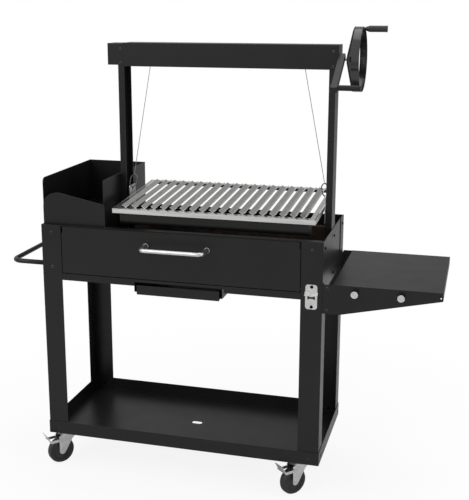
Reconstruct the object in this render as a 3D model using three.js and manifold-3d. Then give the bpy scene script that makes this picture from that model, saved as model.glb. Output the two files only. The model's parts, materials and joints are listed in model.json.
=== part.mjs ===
// A charcoal grill on casters. A fire box with a drop-down front stands on four angle legs over a
// tray. A brazier for lighting the wood stands on its left end, and a windlass in the overhead beam
// raises and lowers a sloping grate of V bars on two cables.
//
// Millimetres, +Z up. Inside the group "grill" X runs across the front with 0 in the middle of the
// body, Y runs back from the front face, and Z is the height over the floor.

import * as THREE from 'three';
import { mergeVertices } from 'three/addons/utils/BufferGeometryUtils.js';
import Module from 'manifold-3d';

const wasm = await Module();
wasm.setup();

// Shared clearances

const seat = 0.3; // gap between two fixed pieces that touch
const running = 0.4; // gap round a piece that turns or slides
const overrun = 5; // how far a cut runs past what it cuts

// The body as a whole

const bodyWidth = 1000;
const bodyDepth = 440;
const bodyTop = 917;
const bodySheet = 2; // sheet of the legs, the fire box and the brazier
const halfWidth = bodyWidth / 2;
const middleY = bodyDepth / 2;

// Legs, folded to an angle

const legFace = 73; // width of the face seen from the front or the back
const legFlange = 65; // width of the flange along the side

// Casters

const wheelRadius = 49;
const wheelWidth = 28;
const casterHeight = 127.7;
const casterPlate = 3;
const casterPlateLength = 76;
const casterPlateWidth = 62;
const casterInsetLeft = 40; // swivel axis from the left side of the body
const casterInsetRight = 78; // and from its right side
const casterInsetY = 44; // and from the front or the back
const casterTrail = 22; // axle behind the swivel axis
const frontCasterTurn = THREE.MathUtils.degToRad(48);
const rearCasterTurn = THREE.MathUtils.degToRad(48);
const raceRadius = 25;
const raceHeight = 9;
const forkSheet = 2.5;
const forkTopRadius = 30;
const forkWing = 46; // how far the cheeks run past the swivel axis at the crown
const forkShoulder = 8; // how far the fork's cheek drops from its crown to its straight edge
const forkNose = 12; // radius of the rounded end round the axle
const forkHeel = 18; // how far the crown runs past the swivel axis, away from the axle
const forkHeelDrop = 24; // how far the cheek runs down before it turns to the axle
const forkNoseDrop = 4; // where the cheek's edges end under the axle
const axleRadius = 5;
const axleHead = 8;
const wheelSideGap = 2.5;
const hubRadius = 17;
const hubProud = 1.5;
const webRecess = 3; // how far the wheel's web lies under its sides
const treadCrown = 4;
const pedalSheet = 2;
const pedalDepth = 10;
const pedalReach = 34; // from its rivets to the elbow
const pedalFall = 1; // from its rivets down to the elbow
const pedalTip = 18; // from the elbow out to the tip
const pedalRise = 28; // from the elbow up to the tip
const pedalTread = 4; // how far the tread runs back from the elbow
const rivetRadius = 3;
const rivetHead = 1;
const rivetAhead = 9; // rivets ahead of the axle, on the pedal's side
const rivetLift = 45; // rivets over the axle

// Base tray

const trayWall = 1.5;
const trayHeight = 47.8;
const trayBottom = casterHeight + seat;
const drainLength = 38;
const drainWidth = 19;

// Front frame round the door

const railDrop = 198; // lower edge of the rail under the top of the body
const railHeight = 24;
const railBottom = bodyTop - railDrop;
const railTop = railBottom + railHeight;
const lipDepth = 26; // how far the top lip of the front frame reaches back
const lipNotchDrop = 14; // how far the rail is cut up over the ash drawer
const lipNotchLeft = 7.5; // how far that cut runs past the drawer's left side
const lipNotchRight = 16; // and past its right side

// Front door

const doorGap = 2.5;
const doorTopGap = 2;
const doorNotchWidth = 4; // relief cut in each upper corner
const doorNotchHeight = 22;
const doorNotchDepth = 8;
const doorReturn = 20;
const hingeRadius = 2.5;
const hingeBack = 5; // hinge axis behind the front face
const hingeLift = 10; // hinge axis over the door's lower edge
const hingeBracketDepth = 20;

// Door handle

const handleSpan = 218;
const handleOffset = -3;
const handleDrop = 53.5; // handle under the top of the body
const handleHeight = bodyTop - handleDrop;
const handleReach = 62;
const handleRadius = 7.5;
const handleBend = 18;
const rosetteRadius = 10.5;
const rosetteThickness = 4;

// Fire box

const hearthFloorDrop = 8; // floor of the fire box under the top of the rail
const hearthFloor = railTop - hearthFloorDrop;
const rimWidth = 12; // rim under the brazier
const ashMouthWidth = 260;
const ashMouthDepth = 320;
const ashGridOverlap = 14;
const ashGridSheet = 3;
const ashSlot = 10;
const ashSlotPitch = 22;
const ashSlotMargin = 20;
const brickThickness = 25;
const brickGap = 1.5;
const brickTopDrop = 43; // top of the brick at the back under the top of the body

// Ash drawer

const drawerWidth = 297;
const drawerHeight = 29;
const drawerHeadroom = 16; // room between the drawer and the floor of the fire box
const drawerPanTop = hearthFloor - drawerHeadroom;
const drawerBottom = drawerPanTop - drawerHeight;
const drawerFrontRise = 3; // how far its front stands over the pan
const drawerFrontDrop = 1.3; // how far its front hangs under the pan
const drawerSheet = 1.5;
const drawerDepth = 380;
const drawerSkid = 8.6;
const drawerSkidLift = 9; // side flanges over the drawer's bottom
const drawerSkidHeight = drawerBottom + drawerSkidLift;
const runnerGap = 2;
const runnerLedge = 10;
const runnerSheet = 2;

// Brazier

const brazierWidth = 229.7; // from the left side of the body to the right face of the partition
const brazierHeight = 162;
const brazierRight = brazierWidth - halfWidth;
const brazierTop = bodyTop + brazierHeight;
const brazierFrontY = 20;
const brazierCorner = 19;
const brazierPartitionCorner = 12;
const brazierSkirt = 40; // how far the partition hangs into the fire box
const brazierFrontLow = 77; // low right end of the front over the body's top
const brazierFrontRound = 10;
const brazierFrontPeak = 114.5;
const brazierPeakRun = 50; // from the left end to the peak
const brazierPeakRound = 19;
const brazierShoulder = 95; // left end of the front
const brazierShoulderRound = 34;
const brazierFrontLap = 4.3; // how far the front runs past the partition
const emberGap = 4; // round the grate of round bars
const emberFrame = 8;
const emberBars = 9;
const emberBarRadius = 5;

// Posts

const postWidth = 70;
const postFlange = 22;
const postSheet = 3;
const postMiddle = middleY;
const rightPostOuter = halfWidth - bodySheet * 2 - seat * 2;
const leftPostOuter = brazierRight + seat;

// Overhead beam

const beamRise = 540; // beam over the top of the body
const beamHeight = 80.5;
const beamWidth = 80;
const beamLeftGap = 0.5; // between the left post and the beam
const beamRightLap = 5.6; // how far the beam runs past the right post
const beamBottom = bodyTop + beamRise;
const beamLeft = leftPostOuter + postFlange + beamLeftGap;
const beamRight = rightPostOuter + beamRightLap;
const beamSheet = 2;
const endBoxLap = 30; // how far the box over the left post runs into the beam
const endBoxReach = 37; // and how far past the post
const endBoxWidth = 74;
const endBoxLift = 4; // its lower edge over the beam's
const endBoxSheet = 1.5;
const endPlate = 3;

// Windlass

const shaftLift = 33; // shaft over the lower edge of the beam
const shaftHeight = beamBottom + shaftLift;
const shaftRadius = 6;
const bushRadius = 12;
const bushOverhang = 4;
const drumCore = 12;
const drumFlangeRadius = 20;
const drumFlange = 3;
const drumLength = 44;
const gearRadius = 19;
const gearRoot = 15;
const gearTeeth = 12;
const gearWidth = 8;
const gearGap = 1.7; // between the end plate and the gear
const gearStart = beamRight + seat + endPlate + gearGap;
const toothLeanShare = 0.12; // how far round from one tooth's root the next tip stands

// Ratchet lever

const leverWidth = 20; // square bar of the arm
const leverRadius = 9; // round bar of its grip
const leverPivotAhead = 34; // pivot in front of the shaft
const leverPivotLift = 8.5; // pivot over the shaft
const leverForward = 148; // from the pivot forward to the grip's axis
const leverFall = 87.5; // from the pivot down to the grip's axis
const leverGripLength = 83.4;
const leverX = beamRight + seat + endPlate + seat + leverWidth / 2;
const leverPivotY = postMiddle - leverPivotAhead;
const leverPivotZ = shaftHeight + leverPivotLift;
const leverCornerY = leverPivotY - leverForward;
const leverCornerZ = leverPivotZ - leverFall;
const leverGripEnd = leverX + leverGripLength;
const leverRodTail = 16; // how far the round bar runs on past the arm's middle
const leverHeel = 14; // how far the arm runs on past the grip's axis
const leverHeelRound = 3;
const leverPin = 4;
const leverPinEnd = 1;
const leverTopRun = 9; // how far the arm runs on past its pivot
const noseWidth = 7;
const noseHeight = 6;
const noseGap = 0.6; // between the nose and the tips of the teeth

// Handwheel

const wheelRingRadius = 106;
const wheelRingThickness = 3;
const wheelRingWidth = 25;
const spokeWidth = 96;
const spokeThickness = 4.5;
const spokeGap = 17; // between the gear and the spoke
const spokeReach = 23; // from the spoke's foot out to the ring
const spokeApex = gearStart + gearWidth + spokeGap;
const wheelRingStart = spokeApex + spokeReach;
const hubNutRadius = 9;
const hubNutLength = 4;
const shaftTail = 4; // how far the shaft runs into the spoke
const shaftEnd = spokeApex + shaftTail;
const spindleRadius = 4;
const gripGap = 4; // between the ring and the grip
const gripStart = wheelRingStart + wheelRingWidth + gripGap;
const gripCone = 13;
const gripLength = 71.5;
const gripNeck = 5.5;
const gripRadius = 10.4;
const gripFlare = 0.6;
const gripFlareLength = 3;
const spindleShort = 6; // how far the spindle stops before the grip's closed end

// Grate

const grateLeftGap = 9.7; // between the left post and the grate, with the lift plate in it
const grateRightGap = 4.6; // and beside the right post
const grateLeft = leftPostOuter + postFlange + grateLeftGap;
const grateRight = rightPostOuter - postFlange - grateRightGap;
const grateWidth = grateRight - grateLeft;
const grateFront = 17.3;
const grateBack = 17;
const grateRun = bodyDepth - grateFront - grateBack;
const grateLift = 68; // front of the grate over the top of the body
const grateRise = 29; // how much higher its back stands
const grateFrontTop = bodyTop + grateLift;
const grateRearTop = grateFrontTop + grateRise;
const grateBarCount = 19;
const grateRailHeight = 16;
const grateRailDepth = 22;
const grateSheet = 2;
const grateSlit = 2.5;
const grateSideFlange = 15.6;
const vBarWidth = 25;
const vBarHeight = 9;
const vBarSheet = 1.6;
const vBarFold = 2.08; // height of its sheet at the fold
const vBarSunk = 1; // how far each V is let into the rails that it is welded to
const vBarLap = 2;

// Grease tray under the front rail

const greaseInset = 22;
const greaseSetBack = 12;
const greaseDepth = 46;
const greaseHeight = 46;
const greaseRound = 20;
const greaseSheet = 1.5;

// Lift plates, hooks and cables

const liftPlateWidth = 60;
const liftPlateThickness = 3;
const liftPlateHang = 55; // how far a lift plate reaches under the grate's front edge
const liftPlateRise = 48; // and over it
const liftPlateBottom = grateFrontTop - liftPlateHang;
const liftPlateTop = grateFrontTop + liftPlateRise;
const liftPlateCorner = 8;
const liftHoleDrop = 14;
const liftHoleRadius = 6;
const hookRod = 2.25;
const hookHeight = 50;
const hookHalfWidth = 12;
const hookLean = 9.5;
const hookGate = 1.2;
const hookLowShare = 0.25; // places along the hook's height
const gateShare = 0.5;
const hookHighShare = 0.75;
const hookSlack = 1.6; // room over the hook's rod in the hole of its lift plate
const cableRadius = 1.2;
const cableSpread = 267.5; // from the middle of the grate to where a cable leaves its drum
const ferruleRadius = 3;
const ferruleLength = 20;
const ferruleLift = 8;

// Side shelf

const shelfDrop = 139; // shelf under the top of the body
const shelfGap = 33; // between the body and the shelf's top
const shelfReach = 353;
const shelfOverhang = 24; // how far it runs past the back of the body
const shelfTop = bodyTop - shelfDrop;
const shelfStart = halfWidth + shelfGap;
const shelfEnd = shelfStart + shelfReach;
const shelfDepth = bodyDepth + shelfOverhang;
const shelfSheet = 2;
const gussetRootHeight = 101;
const gussetRootRun = 56;
const gussetTipHeight = 28;
const gussetReturn = 20;
const gussetFold = 1.2; // round of the fold between a gusset and its return
const gussetRootBottom = shelfTop - gussetRootHeight;
const gussetTipBottom = shelfTop - gussetTipHeight;
const shelfHoleInset = 7;
const shelfHoleDrop = 18;
const shelfHoleHeight = shelfTop - shelfHoleDrop;
const shelfHoleRadius = 2.4;
const pegDrop = 23;
const pegHeight = shelfTop - pegDrop;
const pegShares = [0.208, 0.63]; // places of the pegs along the shelf
const pegStemRadius = 5;
const pegStemLength = 17;
const pegDiscRadius = 11.8;
const pegDiscThickness = 3;

// Bottle opener on the right front leg

const openerDrop = 143; // opener under the top of the body
const openerHeight = 85;
const openerWidth = 40;
const openerThickness = 3;
const openerRound = 11;
const hoodWidth = 44; // the lip that catches a cap
const hoodDrop = 26; // top of the lip under the opener's top
const hoodHeight = 11;
const hoodReach = 9.5;
const mouthDrop = 38.5; // bow tie cut under the lip
const mouthWidth = 25;
const mouthHeight = 14;
const mouthWaistWidth = 9;
const mouthWaistHeight = 6;
const openerTop = bodyTop - openerDrop;
const openerBottom = openerTop - openerHeight;

// Side handle on the left

const sideHandleReach = 136;
const sideHandleRadius = 8.5;
const sideHandleDrop = 149; // side handle under the top of the body
const sideHandleHeight = bodyTop - sideHandleDrop;
const sideHandleInset = 33;
const sideHandleBend = 35;
const sideFlangeRadius = 15;
const sideFlangeThickness = 3;

// How finely round things are cut

const fineSides = 32;
const roundSides = 24;
const tubeSides = 12;
const cableSides = 8;
const cornerSteps = 5;
const bendSteps = 6;
const hookSteps = 36;

// Shapes

const uprightX = new THREE.Vector3(1, 0, 0);
const uprightY = new THREE.Vector3(0, 1, 0);
const uprightZ = new THREE.Vector3(0, 0, 1);

// Where an outline's own across, up and thickness directions lie in the grill.
const planes = {
  xy: new THREE.Matrix4(),
  xz: new THREE.Matrix4().makeBasis(uprightX, uprightZ, uprightY.clone().negate()),
  yz: new THREE.Matrix4().makeBasis(uprightY, uprightZ, uprightX),
};

/** A closed solid from any closed geometry, with its shared corners merged. */
function toSolid(geometry) {
  const bare = geometry.clone();
  bare.deleteAttribute('normal');
  bare.deleteAttribute('uv');
  const merged = mergeVertices(bare);
  const corners = merged.index.array;
  const kept = [];
  for (let i = 0; i < corners.length; i += 3) {
    const [a, b, c] = [corners[i], corners[i + 1], corners[i + 2]];
    if (a !== b && b !== c && c !== a) kept.push(a, b, c);
  }
  return new wasm.Manifold(new wasm.Mesh({
    numProp: 3,
    vertProperties: new Float32Array(merged.attributes.position.array),
    triVerts: new Uint32Array(kept),
  }));
}

/** The geometry of a finished solid. */
function toGeometry(solid) {
  const mesh = solid.getMesh();
  const geometry = new THREE.BufferGeometry();
  geometry.setAttribute('position', new THREE.BufferAttribute(new Float32Array(mesh.vertProperties), 3));
  geometry.setIndex(new THREE.BufferAttribute(new Uint32Array(mesh.triVerts), 1));
  geometry.computeVertexNormals();
  return geometry;
}

/** Joins solids into one. */
function join(...solids) {
  return solids.reduce((whole, next) => whole.add(next));
}

/** A straight block between two corners. */
function box(x0, x1, y0, y1, z0, z1) {
  const geometry = new THREE.BoxGeometry(x1 - x0, y1 - y0, z1 - z0);
  geometry.translate((x0 + x1) / 2, (y0 + y1) / 2, (z0 + z1) / 2);
  return toSolid(geometry);
}

/** A round rod from a start point along one axis. */
function rod(axis, x, y, z, radius, length, sides = roundSides) {
  const geometry = new THREE.CylinderGeometry(radius, radius, length, sides);
  geometry.translate(0, length / 2, 0);
  if (axis === 'x') geometry.rotateZ(-Math.PI / 2);
  if (axis === 'z') geometry.rotateX(Math.PI / 2);
  geometry.translate(x, y, z);
  return toSolid(geometry);
}

/** A shape whose corners [across, up, radius] are rounded where they give a radius. */
function outline(corners) {
  const shape = new THREE.Shape();
  const count = corners.length;
  corners.forEach(([u, v, radius = 0], i) => {
    const corner = new THREE.Vector2(u, v);
    const before = new THREE.Vector2(...corners[(i + count - 1) % count]).sub(corner).normalize();
    const after = new THREE.Vector2(...corners[(i + 1) % count]).sub(corner).normalize();
    const start = corner.clone().addScaledVector(before, radius);
    const end = corner.clone().addScaledVector(after, radius);
    if (i === 0) shape.moveTo(start.x, start.y);
    else shape.lineTo(start.x, start.y);
    if (radius > 0) shape.quadraticCurveTo(u, v, end.x, end.y);
  });
  shape.closePath();
  return shape;
}

/** A flat piece: an outline in one plane, with its thickness from one place to another. */
function plate(plane, corners, from, to) {
  const shape = corners instanceof THREE.Shape ? corners : outline(corners);
  const geometry = new THREE.ExtrudeGeometry(shape, {
    depth: to - from,
    bevelEnabled: false,
    curveSegments: cornerSteps,
  });
  geometry.translate(0, 0, plane === 'xz' ? -to : from);
  geometry.applyMatrix4(planes[plane]);
  return toSolid(geometry);
}

/** A flat ring or disc outline with as many sides as asked. */
function circle(u, v, radius, sides = roundSides) {
  const points = [];
  for (let i = 0; i < sides; i += 1) {
    const angle = (i / sides) * Math.PI * 2;
    points.push([u + radius * Math.cos(angle), v + radius * Math.sin(angle)]);
  }
  return points;
}

/** A solid turned from [radius, along] points about the X axis through (y, z). */
function turnedAlongX(points, y, z, sides = roundSides) {
  const geometry = new THREE.LatheGeometry(points.map((p) => new THREE.Vector2(...p)), sides);
  geometry.rotateZ(-Math.PI / 2);
  geometry.translate(0, y, z);
  const solid = toSolid(geometry);
  return solid.volume() < 0 ? flipped(geometry) : solid;
}

/** The same geometry with its faces turned the other way. */
function flipped(geometry) {
  const turned = geometry.clone();
  const order = turned.index.array;
  for (let i = 0; i < order.length; i += 3) {
    [order[i], order[i + 1]] = [order[i + 1], order[i]];
  }
  return toSolid(turned);
}

/** A path of straight runs joined by bends, with one step on each run and a few on each bend. */
class BentPath extends THREE.Curve {
  constructor(corners, bend) {
    super();
    this.parts = [];
    let from = corners[0];
    corners.slice(1, -1).forEach((corner, i) => {
      const before = from.clone().sub(corner).normalize();
      const after = corners[i + 2].clone().sub(corner).normalize();
      const start = corner.clone().addScaledVector(before, bend);
      const end = corner.clone().addScaledVector(after, bend);
      this.parts.push({ curve: new THREE.LineCurve3(from, start), steps: 1 });
      this.parts.push({ curve: new THREE.QuadraticBezierCurve3(start, corner, end), steps: bendSteps });
      from = end;
    });
    this.parts.push({ curve: new THREE.LineCurve3(from, corners.at(-1)), steps: 1 });
    this.steps = this.parts.reduce((sum, part) => sum + part.steps, 0);
  }

  /** The part of the path at a share of all steps, and how far along that part it is. */
  locate(share) {
    let left = share * this.steps;
    for (const part of this.parts) {
      if (left <= part.steps) return [part.curve, left / part.steps];
      left -= part.steps;
    }
    return [this.parts.at(-1).curve, 1];
  }

  getPoint(share) {
    const [curve, along] = this.locate(share);
    return curve.getPoint(along);
  }

  getTangent(share) {
    const [curve, along] = this.locate(share);
    return curve.getTangent(along);
  }

  getPointAt(share) {
    return this.getPoint(share);
  }

  getTangentAt(share) {
    return this.getTangent(share);
  }
}

/** A round bar along a path. */
function tube(path, radius, steps = path.steps, sides = tubeSides) {
  const section = new THREE.Shape();
  circle(0, 0, radius, sides).forEach(([u, v], i) => (i ? section.lineTo(u, v) : section.moveTo(u, v)));
  section.closePath();
  return toSolid(new THREE.ExtrudeGeometry(section, { steps, extrudePath: path, bevelEnabled: false }));
}

const point = (x, y, z) => new THREE.Vector3(x, y, z);

// Finishes

const blackCoat = { color: 0x2b2b2b, roughness: 0.55, metalness: 0.3 };
const darkSteel = { color: 0x2f2d2b, roughness: 0.7, metalness: 0.5 };
const stainless = { color: 0xbdbbb7, roughness: 0.35, metalness: 1 };
const zinc = { color: 0xb9b8b4, roughness: 0.4, metalness: 0.9 };
const blackRubber = { color: 0x2a2a2a, roughness: 0.85, metalness: 0 };
const brick = { color: 0x6b5345, roughness: 0.95, metalness: 0 };
const blackPlastic = { color: 0x303030, roughness: 0.5, metalness: 0 };

/** One named piece of the grill. */
function piece(name, solid, finish) {
  const mesh = new THREE.Mesh(toGeometry(solid), new THREE.MeshStandardMaterial(finish));
  mesh.name = name;
  return mesh;
}

const grill = new THREE.Group();

// Legs

/** An angle leg in the corner given by which side of the body it stands on. */
function legSolid(sideX, atBack) {
  const outer = sideX * halfWidth;
  const inner = outer - sideX * bodySheet;
  const faceEdge = outer - sideX * legFace;
  const face = atBack ? bodyDepth : 0;
  const faceInner = atBack ? face - bodySheet : bodySheet;
  const flangeEdge = atBack ? face - legFlange : legFlange;
  return plate('xy', sortedTurn([
    [outer, face],
    [outer, flangeEdge],
    [inner, flangeEdge],
    [inner, faceInner],
    [faceEdge, faceInner],
    [faceEdge, face],
  ]), trayBottom + trayWall + seat, bodyTop);
}

/** The same corners in counter-clockwise order. */
function sortedTurn(corners) {
  const area = corners.reduce((sum, [u, v], i) => {
    const [nextU, nextV] = corners[(i + 1) % corners.length];
    return sum + u * nextV - nextU * v;
  }, 0);
  return area < 0 ? [...corners].reverse() : corners;
}

grill.add(
  piece('leg_front_left', legSolid(-1, false), blackCoat),
  piece('leg_front_right', legSolid(1, false), blackCoat),
  piece('leg_rear_left', legSolid(-1, true), blackCoat),
  piece('leg_rear_right', legSolid(1, true), blackCoat),
);

// Base tray, which the legs stand in

function baseTraySolid() {
  const side = halfWidth + seat;
  const outside = side + trayWall;
  const top = trayBottom + trayHeight;
  const shell = box(-outside, outside, -seat - trayWall, bodyDepth + seat + trayWall, trayBottom, top);
  const hollow = box(-side, side, -seat, bodyDepth + seat, trayBottom + trayWall, top + overrun);
  const halfSlot = (drainLength - drainWidth) / 2;
  const middle = bodyDepth / 2;
  const drain = plate('xy', [
    [-halfSlot - drainWidth / 2, middle - drainWidth / 2, drainWidth / 2],
    [halfSlot + drainWidth / 2, middle - drainWidth / 2, drainWidth / 2],
    [halfSlot + drainWidth / 2, middle + drainWidth / 2, drainWidth / 2],
    [-halfSlot - drainWidth / 2, middle + drainWidth / 2, drainWidth / 2],
  ], trayBottom - overrun, trayBottom + overrun);
  return shell.subtract(hollow).subtract(drain);
}

grill.add(piece('base_tray', baseTraySolid(), blackCoat));

// Fire box: floor, sides and back, with a rim folded in under the brazier and runners for the ash drawer

const boxSide = halfWidth - bodySheet - seat; // outer face of its sides
const boxBack = bodyDepth - bodySheet - seat; // outer face of its back
const frameBack = bodySheet * 2 + seat; // rear face of the front frame
const boxFront = frameBack + seat;
const floorTop = hearthFloor + bodySheet;
const ashMouthBack = (bodyDepth + ashMouthDepth) / 2;
const ashMouthFront = (bodyDepth - ashMouthDepth) / 2;
const runnerInner = drawerWidth / 2 - drawerSheet; // ledge edge beside the drawer's pan
const runnerOuter = drawerWidth / 2 + runnerLedge;
const runnerBottom = drawerSkidHeight - running - runnerSheet;

function fireBoxSolid() {
  const shell = box(-boxSide, boxSide, boxFront, boxBack, hearthFloor, bodyTop);
  const inside = box(
    -boxSide + bodySheet, boxSide - bodySheet, boxFront - overrun, boxBack - bodySheet,
    floorTop, bodyTop - bodySheet,
  );
  const brazierMouth = box(
    -boxSide + rimWidth, brazierRight, boxFront - overrun, boxBack - rimWidth,
    bodyTop - bodySheet - overrun, bodyTop + overrun,
  );
  const mouth = box(
    brazierRight, boxSide - bodySheet, boxFront - overrun, boxBack - bodySheet,
    bodyTop - bodySheet - overrun, bodyTop + overrun,
  );
  const lipRoom = box(
    -boxSide - overrun, boxSide + overrun, boxFront - overrun, lipDepth + seat,
    bodyTop - bodySheet - seat, bodyTop + overrun,
  );
  const ashMouth = box(
    -ashMouthWidth / 2, ashMouthWidth / 2, ashMouthFront, ashMouthBack,
    hearthFloor - overrun, floorTop + overrun,
  );
  return join(
    shell.subtract(inside).subtract(brazierMouth).subtract(mouth).subtract(lipRoom).subtract(ashMouth),
    runnerSolid(1),
    runnerSolid(-1),
  );
}

/** The angle that one side of the ash drawer slides on. */
function runnerSolid(sideX) {
  const wall = sideX * runnerOuter;
  const wallInner = wall - sideX * runnerSheet;
  const ledge = sideX * (runnerInner + running);
  const low = runnerBottom;
  const back = boxFront + drawerDepth + runnerGap;
  return join(
    box(Math.min(wall, wallInner), Math.max(wall, wallInner), boxFront, back, low, floorTop),
    box(Math.min(wall, ledge), Math.max(wall, ledge), boxFront, back, low, low + runnerSheet),
  );
}

grill.add(piece('hearth_box', fireBoxSolid(), blackCoat));

// Front frame: jambs behind the legs, the rail under the door and the lip over it

const doorSide = halfWidth - legFace - doorGap; // half the door's width
const jambInner = halfWidth - legFace;
const hingeZ = railTop + doorGap + hingeLift;

function frontFrameSolid() {
  const edge = boxSide - seat;
  const backing = box(-edge, edge, bodySheet + seat, frameBack, railBottom, bodyTop);
  const opening = box(-jambInner, jambInner, -overrun, frameBack + overrun, railTop, bodyTop - bodySheet);
  const rail = box(-jambInner + seat, jambInner - seat, 0, frameBack, railBottom, railTop);
  const topStrip = box(-jambInner + seat, jambInner - seat, 0, frameBack, bodyTop - bodySheet, bodyTop);
  const lip = box(-edge, edge, bodySheet + seat, lipDepth, bodyTop - bodySheet, bodyTop);
  const notch = box(
    -drawerWidth / 2 - lipNotchLeft, drawerWidth / 2 + lipNotchRight, -overrun, frameBack + overrun,
    railBottom - overrun, railBottom + lipNotchDrop,
  );
  const bracketEnd = jambInner + bodySheet;
  const brackets = [-1, 1].map((sideX) => box(
    Math.min(sideX * jambInner, sideX * bracketEnd), Math.max(sideX * jambInner, sideX * bracketEnd),
    bodySheet + seat, hingeBracketDepth, railTop, hingeZ + hingeLift,
  ));
  const bore = rod('x', -bracketEnd - overrun, hingeBack, hingeZ, hingeRadius + seat, (bracketEnd + overrun) * 2);
  const floorRoom = box(
    -edge - overrun, edge + overrun, boxFront - seat + overrun, hingeBracketDepth, hearthFloor, railTop,
  );
  return join(backing.subtract(opening), rail, topStrip, lip, ...brackets)
    .subtract(notch).subtract(bore).subtract(floorRoom);
}

grill.add(piece('front_frame', frontFrameSolid(), blackCoat));

// Front door: a shallow pan that drops open on the rod through its lower corners

const doorBottom = railTop + doorGap;
const doorTop = bodyTop - bodySheet - doorTopGap;

function doorSolid() {
  const pan = box(-doorSide, doorSide, 0, doorReturn, doorBottom, doorTop);
  const hollow = box(
    -doorSide + bodySheet, doorSide - bodySheet, bodySheet, doorReturn + overrun,
    doorBottom + bodySheet, doorTop - bodySheet,
  );
  const bore = rod('x', -doorSide - overrun, hingeBack, hingeZ, hingeRadius + running, (doorSide + overrun) * 2);
  const notches = [-1, 1].map((sideX) => box(
    Math.min(sideX * (doorSide - doorNotchWidth), sideX * (doorSide + overrun)),
    Math.max(sideX * (doorSide - doorNotchWidth), sideX * (doorSide + overrun)),
    -overrun, doorNotchDepth, doorTop - doorNotchHeight, doorTop + overrun,
  ));
  return pan.subtract(hollow).subtract(bore).subtract(notches[0]).subtract(notches[1]);
}

function doorHandleSolid() {
  const left = handleOffset - handleSpan / 2;
  const right = handleOffset + handleSpan / 2;
  const bar = tube(new BentPath([
    point(left, -seat, handleHeight),
    point(left, -handleReach, handleHeight),
    point(right, -handleReach, handleHeight),
    point(right, -seat, handleHeight),
  ], handleBend), handleRadius);
  const rosettes = [left, right].map((x) => rod(
    'y', x, -seat - rosetteThickness, handleHeight, rosetteRadius, rosetteThickness,
  ));
  return join(bar, ...rosettes);
}

const hingeRodSolid = rod(
  'x', -jambInner - bodySheet, hingeBack, hingeZ, hingeRadius, (jambInner + bodySheet) * 2, tubeSides,
);

grill.add(
  piece('front_door', doorSolid(), blackCoat),
  piece('door_handle', doorHandleSolid(), stainless),
  piece('door_hinge_rod', hingeRodSolid, zinc),
);

// Ash grid, ash drawer and firebrick

function ashGridSolid() {
  const halfX = ashMouthWidth / 2 + ashGridOverlap;
  const front = ashMouthFront - ashGridOverlap;
  const back = ashMouthBack + ashGridOverlap;
  const bottom = floorTop + seat;
  let grid = box(-halfX, halfX, front, back, bottom, bottom + ashGridSheet);
  const run = ashMouthDepth - ashSlotMargin * 2;
  const slots = Math.floor(run / ashSlotPitch);
  const first = (bodyDepth - slots * ashSlotPitch + ashSlotPitch) / 2;
  for (let i = 0; i < slots; i += 1) {
    const y = first + i * ashSlotPitch;
    grid = grid.subtract(box(
      -ashMouthWidth / 2 + ashSlotMargin, ashMouthWidth / 2 - ashSlotMargin,
      y - ashSlot / 2, y + ashSlot / 2, bottom - overrun, bottom + ashGridSheet + overrun,
    ));
  }
  return grid;
}

function ashDrawerSolid() {
  const panSide = drawerWidth / 2 - drawerSheet - running;
  const pan = box(-panSide, panSide, 0, drawerDepth, drawerBottom, drawerPanTop);
  const hollow = box(
    -panSide + drawerSheet, panSide - drawerSheet, bodySheet, drawerDepth - drawerSheet,
    drawerBottom + drawerSheet, drawerPanTop + overrun,
  );
  const face = box(-drawerWidth / 2, drawerWidth / 2, 0, bodySheet, drawerBottom - drawerFrontDrop, drawerPanTop + drawerFrontRise);
  const skids = [-1, 1].map((sideX) => {
    const inner = sideX * (panSide - drawerSheet);
    const outer = sideX * (panSide + drawerSkid);
    return box(
      Math.min(inner, outer), Math.max(inner, outer), boxFront + running, drawerDepth,
      drawerSkidHeight, drawerSkidHeight + drawerSheet,
    );
  });
  return join(pan.subtract(hollow), face, ...skids);
}

/** The brick floor, cut out round the ash grid and the two posts. */
function floorBrickSolid() {
  const side = boxSide - bodySheet - seat;
  const bottom = floorTop + seat;
  const top = bottom + brickThickness;
  const slab = box(-side, side, lipDepth, boxBack - bodySheet - seat, bottom, top);
  const gridHalf = ashMouthWidth / 2 + ashGridOverlap + brickGap;
  const grid = box(
    -gridHalf, gridHalf, ashMouthFront - ashGridOverlap - brickGap, ashMouthBack + ashGridOverlap + brickGap,
    bottom - overrun, top + overrun,
  );
  const postHalf = postWidth / 2 + brickGap;
  const leftPost = box(
    leftPostOuter - brickGap, leftPostOuter + postFlange + brickGap,
    postMiddle - postHalf, postMiddle + postHalf, bottom - overrun, top + overrun,
  );
  const rightPost = box(
    rightPostOuter - postFlange - brickGap, rightPostOuter + overrun,
    postMiddle - postHalf, postMiddle + postHalf, bottom - overrun, top + overrun,
  );
  return slab.subtract(grid).subtract(leftPost).subtract(rightPost);
}

/** The brick lining of the back, which stands on the brick floor. */
function backBrickSolid() {
  const side = boxSide - bodySheet - seat;
  const back = boxBack - bodySheet - seat;
  return box(
    -side, side, back - brickThickness, back,
    floorTop + seat + brickThickness + seat, bodyTop - brickTopDrop,
  );
}

grill.add(
  piece('ash_grid', ashGridSolid(), darkSteel),
  piece('ash_drawer', ashDrawerSolid(), blackCoat),
  piece('firebrick_floor', floorBrickSolid(), brick),
  piece('firebrick_back', backBrickSolid(), brick),
);

// Brazier: two sides and a back standing on the rim, a wavy front and a grate of round bars

const brazierLeft = -boxSide;
const brazierBottom = bodyTop + seat;

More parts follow.
